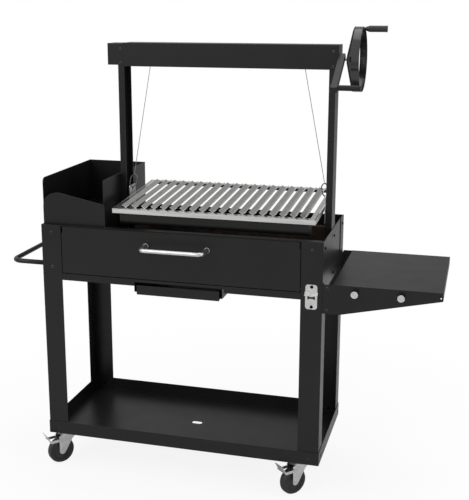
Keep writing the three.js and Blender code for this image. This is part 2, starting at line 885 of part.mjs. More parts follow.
function brazierShellSolid() {
  const partitionInner = brazierRight - bodySheet;
  const side = (corner) => [
    [brazierFrontY, brazierBottom],
    [boxBack, brazierBottom],
    [boxBack, brazierTop],
    [brazierFrontY, brazierTop, corner],
  ];
  const skirt = box(
    partitionInner, brazierRight, lipDepth + seat * 2, boxBack - bodySheet - seat * 2 - brickThickness,
    bodyTop - brazierSkirt, brazierBottom + bodySheet,
  );
  return join(
    plate('yz', side(brazierCorner), brazierLeft, brazierLeft + bodySheet),
    plate('yz', side(brazierPartitionCorner), partitionInner, brazierRight),
    skirt,
    box(brazierLeft, brazierRight, boxBack - bodySheet, boxBack, brazierBottom, brazierTop),
  );
}

function brazierFrontSolid() {
  const right = brazierRight + brazierFrontLap;
  return plate('xz', [
    [brazierLeft, brazierBottom],
    [right, brazierBottom],
    [right, bodyTop + brazierFrontLow, brazierFrontRound],
    [brazierLeft + brazierPeakRun, bodyTop + brazierFrontPeak, brazierPeakRound],
    [brazierLeft, bodyTop + brazierShoulder, brazierShoulderRound],
  ], brazierFrontY - seat - bodySheet, brazierFrontY - seat);
}

function emberGrateSolid() {
  const left = brazierLeft + bodySheet + emberGap;
  const right = brazierRight - bodySheet - emberGap;
  const front = brazierFrontY + seat;
  const back = boxBack - bodySheet - seat;
  const bottom = brazierBottom;
  const top = bottom + emberFrame;
  const frame = box(left, right, front, back, bottom, top).subtract(box(
    left + emberFrame, right - emberFrame, front + emberFrame, back - emberFrame,
    bottom - overrun, top + overrun,
  ));
  const pitch = (right - left) / (emberBars + 1);
  const bars = [];
  for (let i = 1; i <= emberBars; i += 1) {
    bars.push(rod(
      'y', left + i * pitch, front + emberFrame / 2, top, emberBarRadius, back - front - emberFrame, tubeSides,
    ));
  }
  return join(frame, ...bars);
}

grill.add(
  piece('brazier_shell', brazierShellSolid(), blackCoat),
  piece('brazier_front', brazierFrontSolid(), blackCoat),
  piece('ember_grate', emberGrateSolid(), darkSteel),
);

// Posts: channels with their open side facing each other

const beamTop = beamBottom + beamHeight;
const endBoxTop = beamTop - beamSheet - seat;
const postTop = endBoxTop - endBoxSheet - seat;

function postSolid(outer, inward, bottom) {
  const tip = outer + inward * postFlange;
  const web = outer + inward * postSheet;
  const front = postMiddle - postWidth / 2;
  const back = postMiddle + postWidth / 2;
  const channel = plate('xy', sortedTurn([
    [outer, front],
    [tip, front],
    [tip, front + postSheet],
    [web, front + postSheet],
    [web, back - postSheet],
    [tip, back - postSheet],
    [tip, back],
    [outer, back],
  ]), bottom, postTop);
  const bore = rod(
    'x', Math.min(outer, web) - overrun, postMiddle, shaftHeight, bushRadius + seat, postSheet + overrun * 2,
  );
  return channel.subtract(bore);
}

grill.add(
  piece('post_left', postSolid(leftPostOuter, 1, floorTop + seat), blackCoat),
  piece('post_right', postSolid(rightPostOuter, -1, floorTop + seat), blackCoat),
);

// Overhead beam: a channel open below. A narrower channel, let into it, closes its left end over the
// post, and a plate closes the right end.

/** A channel open below from one end to the other, closed at its left end where asked. */
function channelSolid(left, right, width, bottom, top, sheet, leftWall) {
  const front = postMiddle - width / 2;
  const back = postMiddle + width / 2;
  const inside = box(
    leftWall ? left + sheet : left - overrun, right + overrun, front + sheet, back - sheet,
    bottom - overrun, top - sheet,
  );
  return box(left, right, front, back, bottom, top).subtract(inside);
}

function beamSolid() {
  return channelSolid(beamLeft, beamRight, beamWidth, beamBottom, beamTop, beamSheet, false);
}

function endBoxSolid() {
  return channelSolid(
    leftPostOuter - endBoxReach, beamLeft + endBoxLap, endBoxWidth,
    beamBottom + endBoxLift, endBoxTop, endBoxSheet, true,
  );
}

function endPlateSolid() {
  const front = postMiddle - beamWidth / 2;
  const back = postMiddle + beamWidth / 2;
  const face = beamRight + seat + endPlate;
  const sheet = box(beamRight + seat, face, front, back, beamBottom, beamTop);
  const bore = rod('x', beamRight - overrun, postMiddle, shaftHeight, bushRadius + seat, endPlate + overrun * 2);
  const pin = rod(
    'x', face - endPlate / 2, leverPivotY, leverPivotZ, leverPin,
    leverX - face + leverWidth / 2 + leverPinEnd + endPlate / 2,
  );
  return join(sheet.subtract(bore), pin);
}

grill.add(
  piece('lift_beam', beamSolid(), blackCoat),
  piece('beam_end_box', endBoxSolid(), blackCoat),
  piece('beam_end_plate', endPlateSolid(), blackCoat),
);

// Windlass: shaft, bushes, drums and ratchet gear

const grateMiddle = grateLeft + grateWidth / 2;
const drumPlaces = [grateMiddle - cableSpread, grateMiddle + cableSpread];

/** A bush that carries the shaft in a bore. */
function bushSolid(from, to) {
  return rod('x', from, postMiddle, shaftHeight, bushRadius, to - from)
    .subtract(rod('x', from - overrun, postMiddle, shaftHeight, shaftRadius + running, to - from + overrun * 2));
}

/** A spool for one cable. */
function drumSolid(middle) {
  const half = drumLength / 2;
  const bore = shaftRadius + seat;
  return turnedAlongX([
    [bore, middle - half],
    [drumFlangeRadius, middle - half],
    [drumFlangeRadius, middle - half + drumFlange],
    [drumCore, middle - half + drumFlange],
    [drumCore, middle + half - drumFlange],
    [drumFlangeRadius, middle + half - drumFlange],
    [drumFlangeRadius, middle + half],
    [bore, middle + half],
    [bore, middle - half],
  ], postMiddle, shaftHeight);
}

/** The ratchet gear, with its steep faces turned so that the nose holds the load. */
function gearSolid() {
  const corners = [];
  for (let i = 0; i < gearTeeth; i += 1) {
    const start = (i / gearTeeth) * Math.PI * 2;
    const tip = start + Math.PI * 2 / gearTeeth * toothLeanShare;
    corners.push([postMiddle + gearRoot * Math.cos(start), shaftHeight + gearRoot * Math.sin(start)]);
    corners.push([postMiddle + gearRadius * Math.cos(tip), shaftHeight + gearRadius * Math.sin(tip)]);
  }
  return plate('yz', corners, gearStart, gearStart + gearWidth)
    .subtract(rod('x', gearStart - overrun, postMiddle, shaftHeight, shaftRadius + seat, gearWidth + overrun * 2));
}

const shaftStart = leftPostOuter - bushOverhang;

grill.add(
  piece('winding_shaft', rod('x', shaftStart, postMiddle, shaftHeight, shaftRadius, shaftEnd - shaftStart), zinc),
  piece('bearing_left', bushSolid(leftPostOuter - bushOverhang, leftPostOuter + postSheet + bushOverhang), zinc),
  piece('bearing_right', bushSolid(rightPostOuter - postSheet - bushOverhang, gearStart - seat), zinc),
  piece('drum_left', drumSolid(drumPlaces[0]), zinc),
  piece('drum_right', drumSolid(drumPlaces[1]), zinc),
  piece('ratchet_gear', gearSolid(), zinc),
);

// Ratchet lever: a square bar with a round grip and a nose at the gear

function leverSolid() {
  const pivot = new THREE.Vector2(leverPivotY, leverPivotZ);
  const gripAxis = new THREE.Vector2(leverCornerY, leverCornerZ);
  const along = pivot.clone().sub(gripAxis).normalize();
  const aside = new THREE.Vector2(-along.y, along.x).multiplyScalar(leverWidth / 2);
  const top = pivot.clone().addScaledVector(along, leverTopRun);
  const foot = gripAxis.clone().addScaledVector(along, -leverHeel);
  const arm = plate('yz', sortedTurn([
    [top.x - aside.x, top.y - aside.y, leverHeelRound],
    [top.x + aside.x, top.y + aside.y, leverHeelRound],
    [foot.x + aside.x, foot.y + aside.y, leverHeelRound],
    [foot.x - aside.x, foot.y - aside.y, leverHeelRound],
  ]), leverX - leverWidth / 2, leverX + leverWidth / 2);
  const gripFrom = leverX - leverRodTail;
  const grip = rod('x', gripFrom, leverCornerY, leverCornerZ, leverRadius, leverGripEnd - gripFrom);
  const bore = rod(
    'x', leverX - leverWidth / 2 - overrun, leverPivotY, leverPivotZ, leverPin + running,
    leverWidth + overrun * 2,
  );
  const toGear = new THREE.Vector2(postMiddle - leverPivotY, shaftHeight - leverPivotZ);
  const reach = toGear.length() - gearRadius - noseGap;
  const across = new THREE.Vector2(-toGear.y, toGear.x).normalize();
  toGear.normalize();
  const noseCorner = (out, sideways) => {
    const p = pivot.clone().addScaledVector(toGear, out).addScaledVector(across, sideways);
    return [p.x, p.y];
  };
  const nose = plate('yz', sortedTurn([
    noseCorner(leverPin + seat * 2, -noseWidth),
    noseCorner(reach, -noseWidth / 2),
    noseCorner(reach, 0),
    noseCorner(leverPin + seat * 2, noseHeight),
  ]), gearStart + seat, gearStart + gearWidth - seat);
  return join(arm, grip, nose).subtract(bore);
}

grill.add(piece('ratchet_lever', leverSolid(), blackCoat));

// Handwheel: a flat ring on a broad V-shaped spoke, with a turning grip

function ringSolid() {
  const outer = wheelRingRadius;
  const inner = wheelRingRadius - wheelRingThickness;
  const end = wheelRingStart + wheelRingWidth;
  return turnedAlongX([
    [inner, wheelRingStart],
    [outer, wheelRingStart],
    [outer, end],
    [inner, end],
    [inner, wheelRingStart],
  ], postMiddle, shaftHeight, fineSides);
}

function spokeSolid() {
  const inner = wheelRingStart - seat;
  const outer = inner - spokeThickness;
  const knee = Math.sqrt(wheelRingRadius ** 2 - (spokeWidth / 2) ** 2); // where its edges meet the ring
  const low = shaftHeight - wheelRingRadius;
  const high = shaftHeight + wheelRingRadius;
  const bent = plate('xz', sortedTurn([
    [inner, low],
    [inner, shaftHeight - knee],
    [spokeApex + spokeThickness, shaftHeight],
    [inner, shaftHeight + knee],
    [inner, high],
    [outer, high],
    [outer, shaftHeight + knee],
    [spokeApex, shaftHeight + hubNutRadius],
    [spokeApex, shaftHeight - hubNutRadius],
    [outer, shaftHeight - knee],
    [outer, low],
  ]), postMiddle - spokeWidth / 2, postMiddle + spokeWidth / 2);
  const round = rod('x', spokeApex - overrun, postMiddle, shaftHeight, wheelRingRadius, inner - spokeApex + overrun * 2);
  const bar = bent.intersect(round);
  const nut = rod(
    'x', spokeApex + spokeThickness / 2, postMiddle, shaftHeight, hubNutRadius, hubNutLength + spokeThickness / 2,
  );
  const bore = rod(
    'x', spokeApex - overrun, postMiddle, shaftHeight, shaftRadius + seat, shaftEnd - spokeApex + overrun + seat,
  );
  return join(bar, nut).subtract(bore);
}

const gripHeight = shaftHeight + wheelRingRadius - wheelRingThickness - seat - spindleRadius;
const gripEnd = gripStart + gripLength;
const spindleEnd = gripEnd - spindleShort;

function gripSolid() {
  const bore = spindleRadius + running;
  return turnedAlongX([
    [bore, gripStart],
    [gripNeck, gripStart],
    [gripRadius, gripStart + gripCone],
    [gripRadius, gripEnd - gripFlareLength],
    [gripRadius + gripFlare, gripEnd],
    [0, gripEnd],
    [0, spindleEnd + running],
    [bore, spindleEnd + running],
    [bore, gripStart],
  ], postMiddle, gripHeight);
}

grill.add(
  piece('handwheel_ring', ringSolid(), blackCoat),
  piece('handwheel_spoke', spokeSolid(), blackCoat),
  piece('grip_spindle', rod(
    'x', wheelRingStart, postMiddle, gripHeight, spindleRadius, spindleEnd - wheelRingStart, tubeSides,
  ), zinc),
  piece('grip', gripSolid(), blackPlastic),
);

// Grate, grease tray, lift plates, hooks and cables. The grate slopes down to the front.

const slope = Math.atan2(grateRise, grateRun);

/** The grate as it lies flat, with its front top edge at y = 0, z = 0. */
function flatGrateSolid() {
  const length = grateRun / Math.cos(slope);
  const frame = box(grateLeft, grateRight, 0, length, -grateRailHeight, 0);
  const sideZone = grateSheet + grateSlit + grateSideFlange;
  const underside = box(
    grateLeft + grateSheet, grateRight - grateSheet, grateSheet, length - grateSheet,
    -grateRailHeight - overrun, -grateSheet,
  );
  const middle = box(
    grateLeft + sideZone, grateRight - sideZone, grateRailDepth, length - grateRailDepth,
    -grateRailHeight - overrun, overrun,
  );
  const slits = [grateLeft + grateSheet, grateRight - grateSheet - grateSlit].map((x) => box(
    x, x + grateSlit, grateSheet, length - grateSheet, -grateSheet - overrun, overrun,
  ));
  const barGap = (grateWidth - sideZone * 2 - grateBarCount * vBarWidth) / (grateBarCount + 1);
  const bars = [];
  for (let i = 0; i < grateBarCount; i += 1) {
    const x = grateLeft + sideZone + vBarWidth / 2 + barGap + (barGap + vBarWidth) * i;
    bars.push(vBarSolid(x, grateRailDepth - vBarLap, length - grateRailDepth + vBarLap));
  }
  return join(frame.subtract(underside).subtract(middle).subtract(slits[0]).subtract(slits[1]), ...bars);
}

/** One V bar, open above, whose lower edge is let into the rails. */
function vBarSolid(x, from, to) {
  const half = vBarWidth / 2;
  const low = -vBarSunk;
  const high = low + vBarHeight + vBarSheet;
  return plate('xz', [
    [x - half, high - vBarSheet],
    [x, low],
    [x + half, high - vBarSheet],
    [x + half, high],
    [x, low + vBarFold],
    [x - half, high],
  ], from, to);
}

const grate = new THREE.Group();
grate.position.set(0, grateFront, grateFrontTop);
grate.rotation.x = slope;
grate.add(piece('grill_grate', flatGrateSolid(), stainless), piece('grease_tray', greaseTraySolid(), blackCoat));
grill.add(grate);

/** The trough that catches what drips from the front of the V bars. */
function greaseTraySolid() {
  const left = grateLeft + greaseInset;
  const right = grateRight - greaseInset;
  const front = greaseSetBack;
  const back = front + greaseDepth;
  const top = -grateRailHeight - seat;
  const bottom = top - greaseHeight;
  const section = (inset, high) => [
    [front + inset, bottom + inset, greaseRound - inset],
    [back - inset, bottom + inset, greaseRound - inset],
    [back - inset, high],
    [front + inset, high],
  ];
  const trough = plate('yz', section(0, top), left, right);
  const hollow = plate('yz', section(greaseSheet, top + overrun), left + greaseSheet, right - greaseSheet);
  const hanger = box(
    left, right, front, front + greaseSheet, top - greaseRound, -grateSheet - seat,
  );
  return join(trough.subtract(hollow), hanger);
}

const plateFaces = [grateLeft - seat - liftPlateThickness, grateRight + seat];
const liftHoleZ = liftPlateTop - liftHoleDrop;
const hookLow = liftHoleZ + liftHoleRadius - hookRod - hookSlack; // middle of the hook's rod at its foot

/** One lift plate, standing on the outer face of the grate's side. */
function liftPlateSolid(face) {
  const front = postMiddle - liftPlateWidth / 2;
  const back = postMiddle + liftPlateWidth / 2;
  const sheet = plate('yz', [
    [front, liftPlateBottom, liftPlateCorner],
    [back, liftPlateBottom, liftPlateCorner],
    [back, liftPlateTop, liftPlateCorner],
    [front, liftPlateTop, liftPlateCorner],
  ], face, face + liftPlateThickness);
  return sheet.subtract(rod(
    'x', face - overrun, postMiddle, liftHoleZ, liftHoleRadius, liftPlateThickness + overrun * 2,
  ));
}

/** A spring hook through a lift plate, leaning the way that its cable pulls. */
function hookSolid(face, lean) {
  const x = face + liftPlateThickness / 2;
  const low = hookLow;
  const top = low + hookHeight;
  const side = (sign, share) => point(
    x + lean * hookLean * share + sign * hookHalfWidth, postMiddle, low + hookHeight * share,
  );
  const gate = hookGate / hookHeight;
  const path = new THREE.CatmullRomCurve3([
    side(lean, gateShare + gate),
    side(lean, hookHighShare),
    point(x + lean * hookLean, postMiddle, top),
    side(-lean, hookHighShare),
    side(-lean, gateShare),
    side(-lean, hookLowShare),
    point(x, postMiddle, low),
    side(lean, hookLowShare),
    side(lean, gateShare - gate),
  ], false, 'centripetal');
  return tube(path, hookRod, hookSteps, cableSides);
}

/** One cable from the front of its drum down to its hook, with the crimped ferrule at its end. */
function cableSolid(drum, face, lean) {
  const low = hookLow + hookHeight + hookRod + seat;
  const end = point(face + liftPlateThickness / 2 + lean * hookLean, postMiddle, low);
  const start = point(drum, postMiddle - drumCore - seat - cableRadius, shaftHeight);
  const path = new THREE.LineCurve3(start, end);
  const length = start.distanceTo(end);
  const from = path.getPoint(1 - (ferruleLift + ferruleLength) / length);
  const to = path.getPoint(1 - ferruleLift / length);
  return join(
    tube(path, cableRadius, 1, cableSides),
    tube(new THREE.LineCurve3(from, to), ferruleRadius, 1, tubeSides),
  );
}

grill.add(
  piece('lift_plate_left', liftPlateSolid(plateFaces[0]), stainless),
  piece('lift_plate_right', liftPlateSolid(plateFaces[1]), stainless),
  piece('hook_left', hookSolid(plateFaces[0], 1), zinc),
  piece('hook_right', hookSolid(plateFaces[1], -1), zinc),
  piece('cable_left', cableSolid(drumPlaces[0], plateFaces[0], 1), zinc),
  piece('cable_right', cableSolid(drumPlaces[1], plateFaces[1], -1), zinc),
);

// Side shelf with its two pegs

function shelfSolid() {
  const root = halfWidth + seat;
  const under = shelfTop - shelfSheet;
  const top = box(shelfStart, shelfEnd, 0, shelfDepth, under, shelfTop);
  const gusset = [
    [root + gussetFold, gussetRootBottom],
    [root + gussetRootRun, gussetRootBottom],
    [shelfEnd, gussetTipBottom],
    [shelfEnd, shelfTop - shelfSheet / 2],
    [root + gussetFold, shelfTop - shelfSheet / 2],
  ];
  const rearFlange = bodyDepth - gussetReturn;
  const returns = [[gussetFold, gussetReturn], [rearFlange, shelfDepth - gussetFold]].map(([from, to]) => box(
    root, root + shelfSheet, from, to, gussetRootBottom, shelfTop - shelfSheet / 2,
  ));
  const hole = rod(
    'y', shelfEnd - shelfHoleInset, -overrun, shelfHoleHeight, shelfHoleRadius, shelfDepth + overrun * 2, tubeSides,
  );
  const tipEdge = box(shelfEnd - shelfSheet, shelfEnd, 0, shelfDepth, gussetTipBottom, shelfTop);
  return join(
    top, plate('xz', gusset, 0, shelfSheet), plate('xz', gusset, shelfDepth - shelfSheet, shelfDepth),
    ...returns, tipEdge,
  ).subtract(hole);
}

function pegSolid(x) {
  const face = -seat - pegStemLength;
  return join(
    rod('y', x, face, pegHeight, pegStemRadius, pegStemLength, tubeSides),
    rod('y', x, face - pegDiscThickness, pegHeight, pegDiscRadius, pegDiscThickness + seat),
  );
}

grill.add(
  piece('side_shelf', shelfSolid(), blackCoat),
  piece('shelf_peg_1', pegSolid(shelfStart + shelfReach * pegShares[0]), zinc),
  piece('shelf_peg_2', pegSolid(shelfStart + shelfReach * pegShares[1]), zinc),
);

// Bottle opener

/** A plate with a bow tie cut and a lip bent out over the cut. */
function openerSolid() {
  const middle = halfWidth - legFace / 2;
  const half = openerWidth / 2;
  const back = -seat;
  const face = back - openerThickness;
  const backPlate = plate('xz', [
    [middle - half, openerBottom, openerRound],
    [middle + half, openerBottom, openerRound],
    [middle + half, openerTop, openerRound],
    [middle - half, openerTop, openerRound],
  ], face, back);
  const hoodTop = openerTop - hoodDrop;
  const hoodBottom = hoodTop - hoodHeight;
  const hood = plate('yz', sortedTurn([
    [back - seat, hoodTop],
    [face - hoodReach, hoodBottom + openerThickness],
    [face - hoodReach, hoodBottom],
    [face - hoodReach + openerThickness, hoodBottom],
    [back - seat, hoodTop - openerThickness * 2],
  ]), middle - hoodWidth / 2, middle + hoodWidth / 2);
  const mouthMiddle = openerTop - mouthDrop - mouthHeight / 2;
  const mouthCorners = (sign) => [
    [middle + sign * mouthWidth / 2, mouthMiddle - mouthHeight / 2],
    [middle + sign * mouthWidth / 2, mouthMiddle + mouthHeight / 2],
    [middle + sign * mouthWaistWidth / 2, mouthMiddle + mouthWaistHeight / 2],
  ];
  const lowerWaist = mouthMiddle - mouthWaistHeight / 2;
  const mouth = plate('xz', [
    [middle + mouthWaistWidth / 2, lowerWaist],
    ...mouthCorners(1),
    ...mouthCorners(-1).reverse(),
    [middle - mouthWaistWidth / 2, lowerWaist],
  ], face - overrun, back + overrun);
  return join(backPlate.subtract(mouth), hood);
}

grill.add(piece('bottle_opener', openerSolid(), zinc));

// Side handle

function sideHandleSolid() {
  const root = -halfWidth - seat;
  const out = -halfWidth - sideHandleReach;
  const front = sideHandleInset;
  const back = bodyDepth - sideHandleInset;
  const bar = tube(new BentPath([
    point(root, front, sideHandleHeight),
    point(out, front, sideHandleHeight),
    point(out, back, sideHandleHeight),
    point(root, back, sideHandleHeight),
  ], sideHandleBend), sideHandleRadius);
  const flanges = [front, back].map((y) => rod(
    'x', root - sideFlangeThickness, y, sideHandleHeight, sideFlangeRadius, sideFlangeThickness,
  ));
  return join(bar, ...flanges);
}

grill.add(piece('side_handle', sideHandleSolid(), blackCoat));

// Casters. Each is built with its swivel axis at x = y = 0 and its axle towards +X, then turned.

const crownTop = casterHeight - casterPlate - raceHeight;
const crownBottom = crownTop - forkSheet;
const cheekInner = wheelWidth / 2 + wheelSideGap;
const cheekOuter = cheekInner + forkSheet;
const pedalInner = cheekOuter + running;
const pedalOuter = pedalInner + pedalSheet;
const rivetX = casterTrail + rivetAhead;
const rivetZ = wheelRadius + rivetLift;

/** The plate under the tray with the upper race of the swivel. */
function casterPlateSolid() {
  const halfX = casterPlateLength / 2;
  const halfY = casterPlateWidth / 2;
  const race = rod('z', 0, 0, crownTop + seat, raceRadius, raceHeight);
  return join(
    box(-halfX, halfX, -halfY, halfY, casterHeight - casterPlate, casterHeight),
    race,
  );
}

/** The fork: a round crown and two cheeks that taper to the axle, with rivets for a brake pedal. */
function forkSolid(brake) {
  const crown = rod('z', 0, 0, crownBottom, forkTopRadius, forkSheet).intersect(box(
    -forkTopRadius, forkTopRadius, -cheekOuter, cheekOuter, crownBottom - overrun, crownTop + overrun,
  ));
  const straightEdge = casterTrail + forkNose;
  const cheekCorners = [
    [straightEdge, wheelRadius - forkNoseDrop],
    [straightEdge, crownTop - forkShoulder],
    [casterTrail - forkNose / 2, crownTop],
    [-forkWing, crownTop],
    [-forkHeel, crownTop - forkHeelDrop],
    [casterTrail - forkNose, wheelRadius - forkNoseDrop],
    [casterTrail - forkNose / 2, wheelRadius - forkNose, forkNoseDrop],
    [casterTrail + forkNose / 2, wheelRadius - forkNose, forkNoseDrop],
  ];
  const cheeks = [[-cheekOuter, -cheekInner], [cheekInner, cheekOuter]].map(([from, to]) => plate(
    'xz', sortedTurn(cheekCorners), from, to,
  ));
  const bridge = box(-forkHeel, casterTrail - forkNose / 2, -cheekOuter, cheekOuter, crownBottom, crownTop);
  const end = cheekOuter + forkSheet;
  const axle = rod('y', casterTrail, -end, wheelRadius, axleRadius, end * 2, tubeSides);
  const heads = [-end, cheekOuter].map((y) => rod('y', casterTrail, y, wheelRadius, axleHead, forkSheet, tubeSides));
  const rivetEnd = pedalOuter + running + rivetHead;
  const rivets = brake ? [-rivetEnd, cheekOuter].map((y) => rod(
    'y', rivetX, y, rivetZ, rivetRadius, rivetEnd - cheekOuter, tubeSides,
  )) : [];
  return join(crown, bridge, ...cheeks, axle, ...heads, ...rivets);
}

/** The wheel: a lightly crowned tread, a recessed web and a hub that is bored for the axle. */
function wheelSolid() {
  const half = wheelWidth / 2;
  const bore = axleRadius + running;
  const rim = (hubRadius + wheelRadius) / 2;
  const recess = half - webRecess;
  const points = [
    [bore, -half - hubProud],
    [hubRadius / 2 + bore / 2, -half - hubProud],
    [hubRadius, -recess],
    [rim, -recess],
    [rim + hubProud, -half],
    [wheelRadius - treadCrown, -half],
    [wheelRadius, -half / 2],
    [wheelRadius, half / 2],
    [wheelRadius - treadCrown, half],
    [rim + hubProud, half],
    [rim, recess],
    [hubRadius, recess],
    [hubRadius / 2 + bore / 2, half + hubProud],
    [bore, half + hubProud],
    [bore, -half - hubProud],
  ];
  const turned = turnedAlongX(points, 0, 0, fineSides);
  return turned.rotate([0, 0, 90]).translate([casterTrail, 0, wheelRadius]);
}

/** The brake pedal: two arms outside the fork on its rivets, and a tread folded up at the end. */
function pedalSolid() {
  const elbow = [rivetX + pedalReach, rivetZ - pedalFall];
  const tip = [elbow[0] + pedalTip, elbow[1] + pedalRise];
  const half = pedalDepth / 2;
  const arm = [
    [rivetX - half, rivetZ - half, half / 2],
    [elbow[0], elbow[1] - half],
    [elbow[0] + pedalDepth, elbow[1] + half],
    [elbow[0], elbow[1] + half],
    [rivetX - half, rivetZ + half, half / 2],
  ];
  const arms = [[-pedalOuter, -pedalInner], [pedalInner, pedalOuter]].map(([from, to]) => plate(
    'xz', sortedTurn(arm), from, to,
  ));
  const slant = pedalFall / pedalReach * pedalTread;
  const tread = plate('xz', sortedTurn([
    [elbow[0] - pedalTread, elbow[1] - half + slant],
    [elbow[0], elbow[1] - half],
    tip,
    [tip[0] - pedalSheet, tip[1] + pedalSheet / 2],
    [elbow[0] - pedalSheet / 2, elbow[1] - half + pedalSheet],
    [elbow[0] - pedalTread, elbow[1] - half + slant + pedalSheet],
  ]), -pedalOuter, pedalOuter);
  const holes = rod(
    'y', rivetX, -pedalOuter - overrun, rivetZ, rivetRadius + running, (pedalOuter + overrun) * 2, tubeSides,
  );
  return join(...arms, tread).subtract(holes);
}

/** One caster at a corner, with or without a brake. */
function caster(name, x, y, turn, brake) {
  const group = new THREE.Group();
  group.position.set(x, y, 0);
  group.rotation.z = turn;
  group.add(
    piece(`caster_${name}_plate`, casterPlateSolid().rotate([0, 0, -THREE.MathUtils.radToDeg(turn)]), zinc),
    piece(`caster_${name}_fork`, forkSolid(brake), zinc),
    piece(`caster_${name}_wheel`, wheelSolid(), blackRubber),
  );
  if (brake) group.add(piece(`brake_pedal_${name}`, pedalSolid(), zinc));
  return group;
}

const casterLeftX = casterInsetLeft - halfWidth;
const casterRightX = halfWidth - casterInsetRight;
const casterBackY = bodyDepth - casterInsetY;
const frontTurn = Math.PI + frontCasterTurn;
const rearTurn = Math.PI + rearCasterTurn;

grill.add(
  caster('front_left', casterLeftX, casterInsetY, frontTurn, true),
  caster('front_right', casterRightX, casterInsetY, frontTurn, true),
  caster('rear_left', casterLeftX, casterBackY, rearTurn, false),
  caster('rear_right', casterRightX, casterBackY, rearTurn, false),
);

// The origin lies on the floor under the middle of the whole grill.

const wholeLeft = -halfWidth - sideHandleReach - sideHandleRadius;
const wholeRight = shelfEnd;
const wholeFront = -handleReach - handleRadius;
const wholeBack = shelfDepth;
grill.position.set(-(wholeLeft + wholeRight) / 2, -(wholeFront + wholeBack) / 2, 0);

const whole = new THREE.Group();
whole.add(grill);

export default whole;
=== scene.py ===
# %% [markdown]
# A charcoal grill in black powder coat, built as a lesson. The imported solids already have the
# right shapes and places, so this file gives them their finish and the small parts that solids
# leave out: softened sheet edges, screws, brick joints and the strands of the cables.
# The solids could be shown as they are, but their edges would be perfectly sharp and would catch no
# light, so most of them are shown as copies with a small bevel.

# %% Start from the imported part
import json
import math

import bmesh
import bpy
from mathutils import Matrix, Vector

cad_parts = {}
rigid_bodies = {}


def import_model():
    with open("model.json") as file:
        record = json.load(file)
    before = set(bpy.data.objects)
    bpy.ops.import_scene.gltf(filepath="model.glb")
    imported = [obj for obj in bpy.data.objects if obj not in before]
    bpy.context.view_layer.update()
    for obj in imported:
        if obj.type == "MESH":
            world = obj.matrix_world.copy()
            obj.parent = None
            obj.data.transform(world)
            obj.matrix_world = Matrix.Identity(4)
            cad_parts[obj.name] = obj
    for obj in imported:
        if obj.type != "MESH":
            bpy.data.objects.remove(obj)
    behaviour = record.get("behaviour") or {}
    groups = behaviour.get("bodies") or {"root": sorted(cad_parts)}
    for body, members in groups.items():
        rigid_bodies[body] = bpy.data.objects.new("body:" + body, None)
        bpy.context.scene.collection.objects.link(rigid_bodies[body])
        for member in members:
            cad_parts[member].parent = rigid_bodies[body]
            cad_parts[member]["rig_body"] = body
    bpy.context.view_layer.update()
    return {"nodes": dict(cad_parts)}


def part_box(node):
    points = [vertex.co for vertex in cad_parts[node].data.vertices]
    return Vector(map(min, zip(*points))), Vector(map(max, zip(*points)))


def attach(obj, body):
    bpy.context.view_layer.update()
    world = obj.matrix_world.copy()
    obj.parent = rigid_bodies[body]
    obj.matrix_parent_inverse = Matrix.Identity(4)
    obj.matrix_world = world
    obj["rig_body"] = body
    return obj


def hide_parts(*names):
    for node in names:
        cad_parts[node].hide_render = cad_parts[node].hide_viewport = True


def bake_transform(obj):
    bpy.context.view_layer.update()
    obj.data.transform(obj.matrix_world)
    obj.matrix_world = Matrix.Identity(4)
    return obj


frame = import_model()
nodes = frame["nodes"]
print("packed nodes:", len(nodes))

# %% [markdown]
# Sizes below are in millimetres from the middle of the body's front edge, because that is how a
# maker would measure the grill. Blender works in metres, so one helper turns such a place into a
# point of the scene. It reads the legs' corners, so it stays true if the solids move.

# %% Measure from the front of the body
MM = 0.001
body_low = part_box("leg_front_left")[0]
body_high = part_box("leg_rear_right")[1]
body_middle = (body_low.x + body_high.x) / 2


def at(x, y, z):
    """The scene point that is x to the right, y behind and z above the front edge's foot."""
    return Vector((body_middle + x * MM, body_low.y + y * MM, z * MM))


print("body width and depth:", round(body_high.x - body_low.x, 4), round(body_high.y - body_low.y, 4))

# %% [markdown]
# The camera stands where the photograph was taken from: a little to the right, looking down at the
# grate. Such a place can be found by eye, but here it was solved from the body's straight edges. The
# picture was cut out of a wider one, so the lens is shifted a little instead of being turned.

# %% Camera
CAMERA_PLACE = (0.85838, -3.13509, 1.66509)
CAMERA_TURN = 15.566
CAMERA_DIP = 13.566
CAMERA_LENS, CAMERA_SENSOR = 68.01, 36
CAMERA_SHIFT = (0.0238, -0.0348)

camera_data = bpy.data.cameras.new("camera")
camera_data.lens = CAMERA_LENS
camera_data.sensor_width = CAMERA_SENSOR
camera_data.shift_x, camera_data.shift_y = CAMERA_SHIFT
camera = bpy.data.objects.new("camera", camera_data)
camera.location = CAMERA_PLACE
camera.rotation_euler = (math.radians(90 - CAMERA_DIP), 0, math.radians(CAMERA_TURN))
bpy.context.scene.collection.objects.link(camera)
bpy.context.scene.camera = camera
bpy.context.scene.view_settings.view_transform = "Standard"
print("camera at", CAMERA_PLACE)

# %% [markdown]
# A black coat shows little colour of its own, so what it mirrors decides how it looks. A world that
# is white to the camera gives the pale studio, and a lower level for all other rays keeps the light
# on the grill plain. Reflections see a studio that is white on the left and in front and greyer
# towards the back right, which is what gives the bars of the grate a light and a dark flank. A few
# large soft lamps give the sheet metal its shape.

# %% World and lamps
DARK_SIDE = (0.8, 0.55, 0.0)
DARK_LEVEL = 0.35
DARK_FROM, DARK_FULL = -0.35, 0.75
ROOM_LEVEL = 0.55

